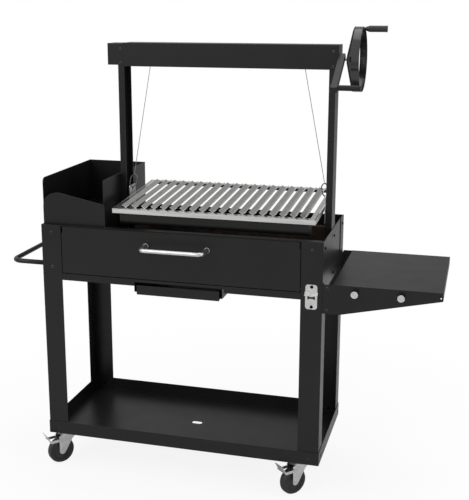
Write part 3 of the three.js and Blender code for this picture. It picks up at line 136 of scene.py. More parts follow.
world = bpy.data.worlds.new("studio")
bpy.context.scene.world = world
world.use_nodes = True
world_tree = world.node_tree
background = world_tree.nodes["Background"]
background.inputs["Color"].default_value = (1, 1, 1, 1)
world_path = world_tree.nodes.new("ShaderNodeLightPath")
world_seen = world_tree.nodes.new("ShaderNodeMath")
world_seen.operation = "MAXIMUM"
world_level = world_tree.nodes.new("ShaderNodeMapRange")
world_level.inputs["To Min"].default_value = ROOM_LEVEL
world_level.inputs["To Max"].default_value = 1.0
world_place = world_tree.nodes.new("ShaderNodeTexCoord")
world_way = world_tree.nodes.new("ShaderNodeVectorMath")
world_way.operation = "DOT_PRODUCT"
world_way.inputs[1].default_value = DARK_SIDE
world_mirrored = world_tree.nodes.new("ShaderNodeMapRange")
world_mirrored.interpolation_type = "SMOOTHSTEP"
world_mirrored.inputs["From Min"].default_value = DARK_FROM
world_mirrored.inputs["From Max"].default_value = DARK_FULL
world_mirrored.inputs["To Min"].default_value = 1.0
world_mirrored.inputs["To Max"].default_value = DARK_LEVEL
world_mix = world_tree.nodes.new("ShaderNodeMix")
world_tree.links.new(world_path.outputs["Is Camera Ray"], world_seen.inputs[0])
world_tree.links.new(world_path.outputs["Is Transmission Ray"], world_seen.inputs[1])
world_tree.links.new(world_seen.outputs[0], world_level.inputs["Value"])
world_tree.links.new(world_place.outputs["Generated"], world_way.inputs[0])
world_tree.links.new(world_way.outputs["Value"], world_mirrored.inputs["Value"])
world_tree.links.new(world_path.outputs["Is Glossy Ray"], world_mix.inputs["Factor"])
world_tree.links.new(world_level.outputs["Result"], world_mix.inputs["A"])
world_tree.links.new(world_mirrored.outputs["Result"], world_mix.inputs["B"])
world_tree.links.new(world_mix.outputs["Result"], background.inputs["Strength"])


def soft_lamp(name, place, aim, size, power):
    """A square lamp of the given size, turned to its aim."""
    data = bpy.data.lights.new(name, "AREA")
    data.size = size
    data.energy = power
    lamp = bpy.data.objects.new(name, data)
    lamp.location = place
    lamp.rotation_euler = (Vector(aim) - Vector(place)).to_track_quat("-Z", "Y").to_euler()
    bpy.context.scene.collection.objects.link(lamp)


soft_lamp("key", (-2.2, -3.0, 3.4), (0, 0, 0.8), 2.2, 60)
soft_lamp("right_side", (3.6, -0.6, 2.4), (0, 0, 0.8), 2.0, 40)
soft_lamp("overhead", (0.4, 0.6, 4.2), (0, 0, 0.6), 2.6, 34)

# %% [markdown]
# The floor keeps a soft shadow near the casters and fades to the studio's white farther out. A
# floor that is one colour would meet the background in a visible line, so a round falloff blends
# a lamp lit surface into a plain white one that only the camera sees.

# %% Floor
FLOOR_HALF = 14.0
FLOOR_NEAR = 0.5
FLOOR_FAR = 1.9
GLOW_NEAR = 0.88

floor_bm = bmesh.new()
bmesh.ops.create_grid(floor_bm, x_segments=2, y_segments=2, size=FLOOR_HALF)
floor_mesh = bpy.data.meshes.new("floor")
floor_bm.to_mesh(floor_mesh)
floor_bm.free()
floor = bpy.data.objects.new("floor", floor_mesh)
bpy.context.scene.collection.objects.link(floor)

floor_finish = bpy.data.materials.new("pale_floor")
floor_finish.use_nodes = True
floor_tree = floor_finish.node_tree
floor_shader = floor_tree.nodes["Principled BSDF"]
floor_shader.inputs["Base Color"].default_value = (0.92, 0.92, 0.92, 1)
floor_shader.inputs["Roughness"].default_value = 0.85
floor_shader.inputs["Specular IOR Level"].default_value = 0.1
floor_place = floor_tree.nodes.new("ShaderNodeTexCoord")
floor_distance = floor_tree.nodes.new("ShaderNodeVectorMath")
floor_distance.operation = "LENGTH"
floor_fade = floor_tree.nodes.new("ShaderNodeMapRange")
floor_fade.interpolation_type = "SMOOTHSTEP"
floor_fade.inputs["From Min"].default_value = FLOOR_NEAR
floor_fade.inputs["From Max"].default_value = FLOOR_FAR
floor_fade.inputs["To Min"].default_value = GLOW_NEAR
floor_glow = floor_tree.nodes.new("ShaderNodeEmission")
floor_path = floor_tree.nodes.new("ShaderNodeLightPath")
floor_share = floor_tree.nodes.new("ShaderNodeMath")
floor_share.operation = "MULTIPLY"
floor_mix = floor_tree.nodes.new("ShaderNodeMixShader")
floor_out = floor_tree.nodes["Material Output"]
floor_tree.links.new(floor_place.outputs["Object"], floor_distance.inputs[0])
floor_tree.links.new(floor_distance.outputs["Value"], floor_fade.inputs["Value"])
floor_tree.links.new(floor_fade.outputs["Result"], floor_share.inputs[0])
floor_tree.links.new(floor_path.outputs["Is Camera Ray"], floor_share.inputs[1])
floor_tree.links.new(floor_share.outputs[0], floor_mix.inputs["Fac"])
floor_tree.links.new(floor_shader.outputs[0], floor_mix.inputs[1])
floor_tree.links.new(floor_glow.outputs[0], floor_mix.inputs[2])
floor_tree.links.new(floor_mix.outputs[0], floor_out.inputs["Surface"])
floor_mesh.materials.append(floor_finish)
print("floor is", FLOOR_HALF * 2, "m across")

# %% [markdown]
# A finish is more than one colour. Each one here is a Principled shader with a noise or a wave that
# varies its roughness and colour a little and raises a fine bump. The patterns read Object
# coordinates, which are metres on these pieces, so a scale of 900 means about 900 grains to a metre.

# %% Helpers for finishes
def finish(name, colour, roughness, metallic=0.0, specular=0.5):
    """A material with a plain Principled shader, ready for its patterns."""
    material = bpy.data.materials.new(name)
    material.use_nodes = True
    shader = material.node_tree.nodes["Principled BSDF"]
    shader.inputs["Base Color"].default_value = (*colour, 1)
    shader.inputs["Roughness"].default_value = roughness
    shader.inputs["Metallic"].default_value = metallic
    shader.inputs["Specular IOR Level"].default_value = specular
    return material


def shader_of(material):
    """The material's Principled shader."""
    return material.node_tree.nodes["Principled BSDF"]


def noise(material, scale, stretch=(1, 1, 1), detail=3.0):
    """The output of a noise on Object coordinates, drawn out along the axes with a small stretch."""
    tree = material.node_tree
    coordinates = tree.nodes.new("ShaderNodeTexCoord")
    mapping = tree.nodes.new("ShaderNodeMapping")
    mapping.inputs["Scale"].default_value = stretch
    texture = tree.nodes.new("ShaderNodeTexNoise")
    texture.inputs["Scale"].default_value = scale
    texture.inputs["Detail"].default_value = detail
    tree.links.new(coordinates.outputs["Object"], mapping.inputs["Vector"])
    tree.links.new(mapping.outputs["Vector"], texture.inputs["Vector"])
    return texture.outputs["Fac"]


def vary(material, source, socket, low, high, start=0.3, end=0.7):
    """Lets a pattern move one number of the shader between low and high."""
    span = material.node_tree.nodes.new("ShaderNodeMapRange")
    span.inputs["From Min"].default_value = start
    span.inputs["From Max"].default_value = end
    span.inputs["To Min"].default_value = low
    span.inputs["To Max"].default_value = high
    material.node_tree.links.new(source, span.inputs["Value"])
    material.node_tree.links.new(span.outputs["Result"], shader_of(material).inputs[socket])


def tint(material, source, dark, light, start=0.3, end=0.7):
    """Lets a pattern move the base colour between two colours."""
    ramp = material.node_tree.nodes.new("ShaderNodeValToRGB")
    ramp.color_ramp.elements[0].position = start
    ramp.color_ramp.elements[0].color = (*dark, 1)
    ramp.color_ramp.elements[1].position = end
    ramp.color_ramp.elements[1].color = (*light, 1)
    material.node_tree.links.new(source, ramp.inputs["Fac"])
    material.node_tree.links.new(ramp.outputs["Color"], shader_of(material).inputs["Base Color"])


def raise_bump(material, source, strength, height):
    """Lets a pattern raise the surface by about the given height in metres."""
    bump = material.node_tree.nodes.new("ShaderNodeBump")
    bump.inputs["Strength"].default_value = strength
    bump.inputs["Distance"].default_value = height
    material.node_tree.links.new(source, bump.inputs["Height"])
    material.node_tree.links.new(bump.outputs["Normal"], shader_of(material).inputs["Normal"])


# %% [markdown]
# Powder coat is sprayed on dry and baked, which leaves a satin skin with a fine orange peel. A wide
# soft noise moves its sheen a little, and a fine one gives the peel.

# %% Powder coat
def powder_coat(name, dark, light, rough_low, rough_high):
    """A satin coat with an orange peel."""
    material = finish(name, light, rough_high, specular=0.27)
    tint(material, noise(material, 9, detail=2.0), dark, light)
    vary(material, noise(material, 14, detail=4.0), "Roughness", rough_low, rough_high)
    raise_bump(material, noise(material, 1500, detail=2.0), 0.22, 0.00008)
    return material


black_coat = powder_coat("black_powder_coat", (0.0068, 0.0068, 0.0072), (0.0082, 0.0082, 0.0086), 0.34, 0.38)
screw_black = powder_coat("blackened_screws", (0.030, 0.030, 0.031), (0.055, 0.055, 0.056), 0.28, 0.36)
ring_black = powder_coat("rubbed_coat", (0.009, 0.009, 0.0095), (0.013, 0.013, 0.0135), 0.17, 0.23)
shader_of(ring_black).inputs["Specular IOR Level"].default_value = 0.6
# Black screws, made darker and more matt than the coat round them: painted shade that stands in for the thin
# shadow round each head.
screw_coat_dark_as_shade = powder_coat("black_screws_with_painted_shade", (0.0015, 0.0015, 0.0015), (0.003, 0.003, 0.003), 0.60, 0.70)
shader_of(screw_coat_dark_as_shade).inputs["Specular IOR Level"].default_value = 0.05
print("coats:", black_coat.name, screw_black.name, ring_black.name)

# %% [markdown]
# The grate is stainless sheet with a brushed grain that runs along each bar and each rail. The grain
# is a noise drawn out along one axis, so there is one finish for pieces that run across the grill
# and one for those that run from the front to the back.

# %% Brushed stainless steel
def brushed(name, stretch, dark, light, rough_low, rough_high):
    """Stainless steel whose grain runs along the axis with the small stretch."""
    material = finish(name, light, rough_high, metallic=1.0)
    grain = noise(material, 1400, stretch=stretch, detail=4.0)
    tint(material, noise(material, 420, stretch=stretch, detail=3.0), dark, light)
    vary(material, grain, "Roughness", rough_low, rough_high)
    raise_bump(material, grain, 0.15, 0.00005)
    return material


LIGHT_STEEL = (0.66, 0.66, 0.65)
PLATE_STEEL = (0.58, 0.58, 0.57)
steel_across = brushed("brushed_steel_across", (0.02, 1, 1), (0.50, 0.50, 0.49), LIGHT_STEEL, 0.24, 0.36)
steel_along = brushed("brushed_steel_along", (1, 0.02, 1), (0.46, 0.46, 0.45), LIGHT_STEEL, 0.24, 0.34)
steel_upright = brushed("brushed_steel_upright", (1, 1, 0.03), (0.42, 0.42, 0.41), PLATE_STEEL, 0.26, 0.38)
cable_steel = brushed("cable_steel", (1, 1, 0.2), (0.24, 0.24, 0.24), (0.42, 0.42, 0.42), 0.30, 0.42)
print("steels:", steel_across.name, steel_along.name, steel_upright.name, cable_steel.name)

# %% [markdown]
# The forks, plates and hooks are zinc plated. Fresh plating is bright but not brushed: its grains
# show as faint cells that mirror a little differently. Cells come from a Voronoi texture, which
# noise can't give.

# %% Zinc plating and dark steel
def zinc_plating(name, dark, light, rough_low, rough_high):
    """Plated steel with faint cells."""
    material = finish(name, light, rough_high, metallic=1.0)
    tree = material.node_tree
    coordinates = tree.nodes.new("ShaderNodeTexCoord")
    cells = tree.nodes.new("ShaderNodeTexVoronoi")
    cells.inputs["Scale"].default_value = 260
    tree.links.new(coordinates.outputs["Object"], cells.inputs["Vector"])
    vary(material, cells.outputs["Distance"], "Roughness", rough_low, rough_high, 0.0, 0.8)
    tint(material, noise(material, 60, detail=4.0), dark, light)
    raise_bump(material, noise(material, 1100, detail=2.0), 0.12, 0.00005)
    return material


bright_zinc = zinc_plating("bright_zinc", (0.52, 0.52, 0.52), (0.64, 0.64, 0.63), 0.30, 0.42)
hook_zinc = zinc_plating("worn_zinc", (0.15, 0.15, 0.15), (0.26, 0.26, 0.25), 0.32, 0.45)
dark_steel = zinc_plating("hot_rolled_steel", (0.035, 0.033, 0.032), (0.075, 0.070, 0.066), 0.45, 0.60)
sooty_steel = zinc_plating("sooty_steel", (0.008, 0.008, 0.008), (0.020, 0.019, 0.018), 0.60, 0.75)
print("plated:", bright_zinc.name, hook_zinc.name, dark_steel.name, sooty_steel.name)

# %% [markdown]
# Firebrick is pressed clay: matt, reddish brown, blotched, with sand grains that stand proud. Its two tones
# are kept far darker than the clay's own colour, as painted shade for the deep shade inside the firebox. Two
# noises do it, a broad one for the blotches and a fine rough one for the grains.

# %% Firebrick, rubber and plastic
firebrick = finish("firebrick_clay_and_painted_shade", (0.16, 0.085, 0.06), 0.9, specular=0.25)
# Painted shade: the brick tones below are set very dark for the shade in the firebox, and the noise between
# them gives the blotches.
tint(firebrick, noise(firebrick, 38, detail=8.0), (0.034, 0.025, 0.021), (0.068, 0.049, 0.040))
vary(firebrick, noise(firebrick, 90, detail=5.0), "Roughness", 0.82, 0.95)
raise_bump(firebrick, noise(firebrick, 620, detail=6.0), 0.5, 0.0006)

wheel_rubber = finish("wheel_rubber", (0.018, 0.018, 0.018), 0.6, specular=0.4)
tint(wheel_rubber, noise(wheel_rubber, 40, detail=3.0), (0.012, 0.012, 0.012), (0.024, 0.024, 0.024))
vary(wheel_rubber, noise(wheel_rubber, 120, detail=3.0), "Roughness", 0.48, 0.62)
raise_bump(wheel_rubber, noise(wheel_rubber, 1300, detail=2.0), 0.2, 0.0001)

grip_plastic = finish("grip_plastic", (0.014, 0.014, 0.014), 0.4, specular=0.45)
tint(grip_plastic, noise(grip_plastic, 60, detail=3.0), (0.011, 0.011, 0.011), (0.018, 0.018, 0.018))
vary(grip_plastic, noise(grip_plastic, 90, detail=3.0), "Roughness", 0.34, 0.44)
raise_bump(grip_plastic, noise(grip_plastic, 1800, detail=2.0), 0.2, 0.00006)
print("others:", firebrick.name, wheel_rubber.name, grip_plastic.name)

# %% [markdown]
# Folded and cut sheet never has a perfectly sharp edge, and the thin line of light along an edge is
# what makes dark metal read as sheet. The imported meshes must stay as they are, so each piece is a
# copy whose doubled corners are merged and whose sharp edges get a small bevel. Weighted normals
# keep the flat faces flat while the bevels turn smoothly.

# %% Helpers for pieces
MERGE = 0.000002
FLAT = math.radians(1)
SHARP = math.radians(32)
SHEET_EDGE, FINE_EDGE, LEVER_EDGE, WHEEL_EDGE, BRICK_EDGE = 0.0005, 0.0003, 0.0002, 0.0006, 0.0012


def finished(bm, name, body, materials, stands_for=()):
    """Makes a piece of the scene out of a bmesh and lets it ride on its body, if it has one."""
    mesh = bpy.data.meshes.new(name)
    bm.to_mesh(mesh)
    bm.free()
    for material in materials:
        mesh.materials.append(material)
    mesh.shade_smooth()
    piece = bpy.data.objects.new(name, mesh)
    bpy.context.scene.collection.objects.link(piece)
    normals = piece.modifiers.new("weighted_normals", "WEIGHTED_NORMAL")
    normals.keep_sharp = True
    if body:
        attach(piece, body)
    if stands_for:
        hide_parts(*stands_for)
    return piece


def merged_copy(node):
    """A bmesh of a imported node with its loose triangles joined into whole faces."""
    bm = bmesh.new()
    bm.from_mesh(nodes[node].data)
    bmesh.ops.remove_doubles(bm, verts=bm.verts, dist=MERGE)
    bmesh.ops.dissolve_limit(bm, angle_limit=FLAT, verts=bm.verts, edges=bm.edges)
    return bm


def soften(bm, edge, segments=2):
    """Bevels every sharp edge of the bmesh by the given width."""
    sharp = [e for e in bm.edges if e.is_manifold and e.calc_face_angle() > SHARP]
    bmesh.ops.bevel(
        bm, geom=sharp, offset=edge, offset_type="OFFSET", segments=segments, profile=0.5,
        affect="EDGES", clamp_overlap=True, material=-1,
    )


def edged(node, materials, edge=SHEET_EDGE):
    """A copy of a node with softened edges, which stands for it."""
    bm = merged_copy(node)
    soften(bm, edge)
    body = nodes[node]["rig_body"]
    return finished(bm, f"{node}_edged", body, materials, [node])


# %% [markdown]
# The black sheet pieces all share the powder coat. One loop dresses them, because they differ only
# in shape and the shape comes from the solids.

# %% Black sheet pieces
coated = [
    "leg_front_left", "leg_front_right", "leg_rear_left", "leg_rear_right", "base_tray", "hearth_box",
    "front_frame", "front_door", "ash_drawer", "brazier_shell", "brazier_front", "post_left",
    "post_right", "lift_beam", "beam_end_box", "beam_end_plate", "side_shelf", "grease_tray",
    "handwheel_spoke",
]
for node in coated:
    piece = edged(node, [black_coat])
    print(node, "has", len(piece.data.polygons), "faces")

# %% [markdown]
# The casters, the bearings, the opener and the windlass are small parts that come plated from a
# workshop. They could get a wider bevel like the sheets, but stamped parts have tighter edges, so a
# finer one is used. The grids lie in the fire, so they are dark steel or covered in soot.

# %% Plated and stainless sheet pieces
plated = ["ratchet_gear", "bottle_opener", "bearing_left", "bearing_right"]
plated += [n for n in nodes if n.startswith("caster_") and not n.endswith("_wheel")]
plated += [n for n in nodes if n.startswith("brake_pedal_")]
for node in plated:
    edged(node, [bright_zinc], FINE_EDGE)
for node in ["lift_plate_left", "lift_plate_right"]:
    edged(node, [steel_upright], FINE_EDGE)
for node in ["winding_shaft", "drum_left", "drum_right"]:
    edged(node, [bright_zinc], FINE_EDGE)
for node in ["grip_spindle", "door_hinge_rod"]:
    edged(node, [screw_black], FINE_EDGE)
edged("ash_grid", [dark_steel])
edged("ember_grate", [sooty_steel])
print("plated pieces:", len(plated))

# %% [markdown]
# The grate is one welded piece whose grain runs two ways, so its faces get one of two finishes. The
# grain of the V bars runs from the front to the back, and the grain of the rails runs across. A
# face belongs to the bars if its middle lies inside the frame of rails.

# %% Grate
RAIL_DEPTH = 23
SIDE_RAIL = 21

grate_bm = merged_copy("grill_grate")
soften(grate_bm, FINE_EDGE)
grate_low, grate_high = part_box("grill_grate")
bar_faces = 0
for face in grate_bm.faces:
    middle = face.calc_center_median()
    across = grate_low.x + SIDE_RAIL * MM < middle.x < grate_high.x - SIDE_RAIL * MM
    along = grate_low.y + RAIL_DEPTH * MM < middle.y < grate_high.y - RAIL_DEPTH * MM
    if across and along:
        face.material_index = 1
        bar_faces += 1
finished(grate_bm, "grate_edged", "grate", [steel_across, steel_along], ["grill_grate"])
print("faces on the bars:", bar_faces)

# %% [markdown]
# A round bar that is bent has straight runs and arcs. It could be a curve with a bevel depth, but a
# mesh made with extrude and spin shows plainly how the bar is formed: a ring of points is pushed
# along each run and swung round the middle of each bend.

# %% A bent round bar
def ring_at(bm, place, direction, radius, sides):
    """A closed ring of edges round a place, facing along a direction."""
    turn = Vector((0, 0, 1)).rotation_difference(direction).to_matrix().to_4x4()
    made = bmesh.ops.create_circle(
        bm, cap_ends=False, segments=sides, radius=radius, matrix=Matrix.Translation(place) @ turn,
    )
    return list({e for v in made["verts"] for e in v.link_edges})


def bent_bar(bm, corners, bend, radius, sides=24, steps=10):
    """A capped round bar through corners, each rounded with the given bend radius."""
    direction = (corners[1] - corners[0]).normalized()
    edges = ring_at(bm, corners[0], direction, radius, sides)
    bmesh.ops.contextual_create(bm, geom=edges)
    end = corners[0].copy()
    for i in range(1, len(corners)):
        last = i == len(corners) - 1
        stop = corners[i]
        if not last:
            next_way = (corners[i + 1] - corners[i]).normalized()
            angle = direction.angle(next_way)
            cut = bend * math.tan(angle / 2)
            stop = corners[i] - direction * cut
        pushed = bmesh.ops.extrude_edge_only(bm, edges=edges)["geom"]
        moved = [g for g in pushed if isinstance(g, bmesh.types.BMVert)]
        edges = [g for g in pushed if isinstance(g, bmesh.types.BMEdge)]
        bmesh.ops.translate(bm, verts=moved, vec=stop - end)
        end = stop.copy()
        if last:
            break
        axis = direction.cross(next_way).normalized()
        inward = axis.cross(direction).normalized()
        swung = bmesh.ops.spin(
            bm, geom=edges, cent=end + inward * bend, axis=axis, angle=angle, steps=steps,
            use_duplicate=False, use_merge=False,
        )["geom_last"]
        edges = [g for g in swung if isinstance(g, bmesh.types.BMEdge)]
        end = corners[i] + next_way * cut
        direction = next_way
    bmesh.ops.contextual_create(bm, geom=edges)
    bmesh.ops.recalc_face_normals(bm, faces=bm.faces)


def turned(bm, profile, centre, axis, side, sides=32):
    """A turned piece: profile pairs give the distance along the axis and the radius."""
    start = bm.verts[:]
    points = [bm.verts.new(centre + axis * along + side * radius) for along, radius in profile]
    line = [bm.edges.new((points[i], points[i + 1])) for i in range(len(points) - 1)]
    bmesh.ops.spin(
        bm, geom=points + line, cent=centre, axis=axis, angle=math.tau, steps=sides,
        use_merge=True, use_duplicate=False,
    )
    fresh = [v for v in bm.verts if v not in set(start)]
    bmesh.ops.remove_doubles(bm, verts=fresh, dist=MERGE)
    bmesh.ops.recalc_face_normals(bm, faces=bm.faces)


# %% [markdown]
# The door's bow handle is stainless bar on two turned rosettes. The side handle and the ratchet
# lever are the same kind of bent bar in black coat.

# %% Door handle and side handle
HANDLE_LEFT, HANDLE_RIGHT = -112, 106
HANDLE_HEIGHT, HANDLE_REACH, HANDLE_RADIUS, HANDLE_BEND = 863.5, 62, 7.5, 18
ROSETTE_REACH = 4.5
SEAT = 0.3
SIDE_BEND, SIDE_RADIUS = 35, 8.5

handle_bm = bmesh.new()
bent_bar(handle_bm, [
    at(HANDLE_LEFT, -SEAT, HANDLE_HEIGHT),
    at(HANDLE_LEFT, -HANDLE_REACH, HANDLE_HEIGHT),
    at(HANDLE_RIGHT, -HANDLE_REACH, HANDLE_HEIGHT),
    at(HANDLE_RIGHT, -SEAT, HANDLE_HEIGHT),
], HANDLE_BEND * MM, HANDLE_RADIUS * MM)
for x in (HANDLE_LEFT, HANDLE_RIGHT):
    turned(handle_bm, [
        (0.0, 0.0), (0.0, 10.2 * MM), (0.6 * MM, 10.5 * MM), (3.2 * MM, 10.5 * MM), (4.0 * MM, 9.6 * MM),
        (4.0 * MM, 7.0 * MM), (4.0 * MM, 0.0),
    ], at(x, -SEAT, HANDLE_HEIGHT), Vector((0, -1, 0)), Vector((1, 0, 0)))
for face in handle_bm.faces:
    middle = face.calc_center_median()
    if face.normal.y < -0.9 and middle.y > at(0, -SEAT - ROSETTE_REACH, 0).y:
        face.material_index = 1
finished(handle_bm, "door_handle_bow", "door", [steel_across, black_coat], ["door_handle"])

SIDE_ROOT, SIDE_OUT, SIDE_FRONT, SIDE_BACK, SIDE_HEIGHT = -500.3, -636, 33, 407, 768
side_bm = bmesh.new()
bent_bar(side_bm, [
    at(SIDE_ROOT, SIDE_FRONT, SIDE_HEIGHT),
    at(SIDE_OUT, SIDE_FRONT, SIDE_HEIGHT),
    at(SIDE_OUT, SIDE_BACK, SIDE_HEIGHT),
    at(SIDE_ROOT, SIDE_BACK, SIDE_HEIGHT),
], SIDE_BEND * MM, SIDE_RADIUS * MM)
for y in (SIDE_FRONT, SIDE_BACK):
    turned(side_bm, [
        (0.0, 0.0), (0.0, 14.8 * MM), (0.4 * MM, 15 * MM), (2.6 * MM, 15 * MM),
        (3.0 * MM, 14.5 * MM), (3.0 * MM, 0.0),
    ], at(SIDE_ROOT, y, SIDE_HEIGHT), Vector((-1, 0, 0)), Vector((0, 0, 1)))
finished(side_bm, "side_handle_bar", "frame", [black_coat], ["side_handle"])
print("handles made")

# %% [markdown]
# The handwheel is a flat band bent into a ring, and its grip is a plastic sleeve that swells towards
# the end. Both are round about an axis. A cylinder would need its edges beveled afterwards, while a
# profile that is spun round the axis has the rounded edges in it from the start.

# %% Ratchet lever, handwheel ring and grip
edged("ratchet_lever", [black_coat], LEVER_EDGE)

RING_START, RING_END, RING_OUTER, RING_INNER = 554, 579, 106, 103
RING_EDGE = 0.6
RING_WIDTH = RING_END - RING_START
RING_SIDES = 96
SHAFT_Y, SHAFT_Z = 220, 1490
ring_bm = bmesh.new()
turned(ring_bm, [
    (0.0, (RING_INNER + RING_EDGE) * MM),
    (0.0, (RING_OUTER - RING_EDGE) * MM),
    (RING_EDGE * MM, RING_OUTER * MM),
    ((RING_WIDTH - RING_EDGE) * MM, RING_OUTER * MM),
    (RING_WIDTH * MM, (RING_OUTER - RING_EDGE) * MM),
    (RING_WIDTH * MM, (RING_INNER + RING_EDGE) * MM),
    ((RING_WIDTH - RING_EDGE) * MM, RING_INNER * MM),
    (RING_EDGE * MM, RING_INNER * MM),
    (0.0, (RING_INNER + RING_EDGE) * MM),
], at(RING_START, SHAFT_Y, SHAFT_Z), Vector((1, 0, 0)), Vector((0, 0, 1)), RING_SIDES)
finished(ring_bm, "handwheel_ring_band", "windlass", [ring_black], ["handwheel_ring"])

GRIP_START, GRIP_LENGTH, GRIP_RADIUS = 583, 71.5, 10.4
GRIP_RISE = 98.7
GRIP_SIDES = 40
GRIP_HEIGHT = SHAFT_Z + GRIP_RISE
grip_bm = bmesh.new()
turned(grip_bm, [
    (0.4 * MM, 4.4 * MM), (0.0, 5.0 * MM), (0.5 * MM, 5.6 * MM), (12.4 * MM, 10.0 * MM),
    (14 * MM, GRIP_RADIUS * MM), ((GRIP_LENGTH - 4) * MM, GRIP_RADIUS * MM),
    ((GRIP_LENGTH - 1) * MM, 11.0 * MM), (GRIP_LENGTH * MM, 10.4 * MM), (GRIP_LENGTH * MM, 0.0),
], at(GRIP_START, SHAFT_Y, GRIP_HEIGHT), Vector((1, 0, 0)), Vector((0, 0, 1)), GRIP_SIDES)
finished(grip_bm, "handwheel_grip", "wheel_grip", [grip_plastic], ["grip"])
print("handwheel made")

# %% [markdown]
# The bricks are separate slabs laid edge to edge with open joints. The solid is one slab, so its copy
# is sliced: for each brick a fresh copy is cut off on both sides and the two cuts are closed again.

# %% Firebricks
BRICK_LENGTH = 228
BRICK_JOINT = 1.6


def slab(bm, node, low, high):
    """Adds the part of a node between two places across the grill to a bmesh."""
    part = merged_copy(node)
    for place, way in ((low, Vector((-1, 0, 0))), (high, Vector((1, 0, 0)))):
        cut = bmesh.ops.bisect_plane(
            part, geom=part.verts[:] + part.edges[:] + part.faces[:], dist=MERGE,
            plane_co=Vector((place, 0, 0)), plane_no=way, clear_outer=True,
        )
        rim = [g for g in cut["geom_cut"] if isinstance(g, bmesh.types.BMEdge)]
        bmesh.ops.contextual_create(part, geom=rim)
    soften(part, BRICK_EDGE)
    mesh = bpy.data.meshes.new("slab")
    part.to_mesh(mesh)
    part.free()
    bm.from_mesh(mesh)
    bpy.data.meshes.remove(mesh)


for node in ["firebrick_floor", "firebrick_back"]:
    brick_low, brick_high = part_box(node)
    brick_count = round((brick_high.x - brick_low.x) / (BRICK_LENGTH * MM))
    brick_step = (brick_high.x - brick_low.x) / brick_count
    brick_bm = bmesh.new()
    for i in range(brick_count):
        left = brick_low.x + brick_step * i
        slab(brick_bm, node, left + BRICK_JOINT / 2 * MM, left + brick_step - BRICK_JOINT / 2 * MM)
    finished(brick_bm, f"{node}_laid", "frame", [firebrick], [node])
    print(node, "is laid with", brick_count, "bricks")

# %% [markdown]
# Screws hold the sheet pieces together. A button head is a low dome with a six sided socket. It could
# be one turned piece with a round dimple, but the flat flanks of the socket catch the light, so the
# socket is a ring of six points that is pushed in.

# %% Screws
HEAD_RADIUS = 5.6
HEAD_HEIGHT = 2.8
SOCKET_RADIUS = 2.7
SOCKET_DEPTH = 1.8
BEAM_FRONT = 180
END_BOX_FRONT = 183
OPENER_FACE = -3.3
DOME_STEPS = 4
DOME_SIDES = 24
DOME_SHARE = 0.72
HEAD_SINK = 0.2


def screw_head(bm, place, way):
    """A button head that stands on a face at a place and points the given way."""
    turn = Vector((0, 0, 1)).rotation_difference(way).to_matrix().to_4x4()
    rings = [(HEAD_RADIUS, -HEAD_SINK)]
    for i in range(DOME_STEPS + 1):
        angle = math.pi / 2 * i / DOME_STEPS * DOME_SHARE
        rise = math.sin(angle) / math.sin(math.pi / 2 * DOME_SHARE)
        rings.append((HEAD_RADIUS * math.cos(angle), HEAD_HEIGHT * rise))
    loops = []
    for radius, height in rings:
        made = bmesh.ops.create_circle(
            bm, cap_ends=False, segments=DOME_SIDES, radius=radius * MM,
            matrix=Matrix.Translation(place + way * height * MM) @ turn,
        )
        loops.append(made["verts"])
    top = rings[-1][1]
    for height in (top, top - SOCKET_DEPTH):
        made = bmesh.ops.create_circle(
            bm, cap_ends=False, segments=6, radius=SOCKET_RADIUS * MM,
            matrix=Matrix.Translation(place + way * height * MM) @ turn,
        )
        loops.append(made["verts"])
    fresh = []
    for lower, upper in zip(loops, loops[1:]):
        pair = [e for v in lower + upper for e in v.link_edges if all(w in lower for w in e.verts) or all(
            w in upper for w in e.verts)]
        fresh += bmesh.ops.bridge_loops(bm, edges=list(dict.fromkeys(pair)))["faces"]
    for end in (loops[0], loops[-1]):
        rim = list(dict.fromkeys(e for v in end for e in v.link_edges if all(w in end for w in e.verts)))
        fresh += bmesh.ops.contextual_create(bm, geom=rim)["faces"]
    bmesh.ops.recalc_face_normals(bm, faces=fresh)


AHEAD, BEHIND, LEFTWARD, RIGHTWARD = (
    Vector((0, -1, 0)), Vector((0, 1, 0)), Vector((-1, 0, 0)), Vector((1, 0, 0)))
DEPTH = 440
HALF = 500
SHEET = 2


def screws(name, body, material, places):
    """One piece that holds all the screws of a list of places and ways."""
    bm = bmesh.new()
    for place, way in places:
        screw_head(bm, place, way)
    finished(bm, name, body, [material])
    print(name, len(places))


SCREW_X = 463.5
SCREW_TOP, SCREW_DOOR, SCREW_FOOT = 890, 766, 150
SHELF_SCREW_X = 514.5
SHELF_SCREW_HEIGHTS = (765, 690)
BEAM_SCREW_PLACES = ((-258.7, END_BOX_FRONT), (487.5, BEAM_FRONT))
BEAM_SCREW_HEIGHTS = (1516, 1467.5)
SIDE_SCREW_FRONT, SIDE_SCREW_BACK = 37, 415
SIDE_SCREW_LOW = 758
OPENER_SCREW_X = 464.5
OPENER_SCREW_HEIGHTS = (766, 697.5)

front_screws = []
for x in (-SCREW_X, SCREW_X):
    for z in (SCREW_TOP, SCREW_DOOR, SCREW_FOOT):
        front_screws.append((at(x, 0, z), AHEAD))
        front_screws.append((at(x, DEPTH, z), BEHIND))
for z in SHELF_SCREW_HEIGHTS:
    front_screws.append((at(SHELF_SCREW_X, 0, z), AHEAD))
for x, y in BEAM_SCREW_PLACES:
    for z in BEAM_SCREW_HEIGHTS:
        front_screws.append((at(x, y, z), AHEAD))
screws("frame_screws", "frame", screw_black, front_screws)

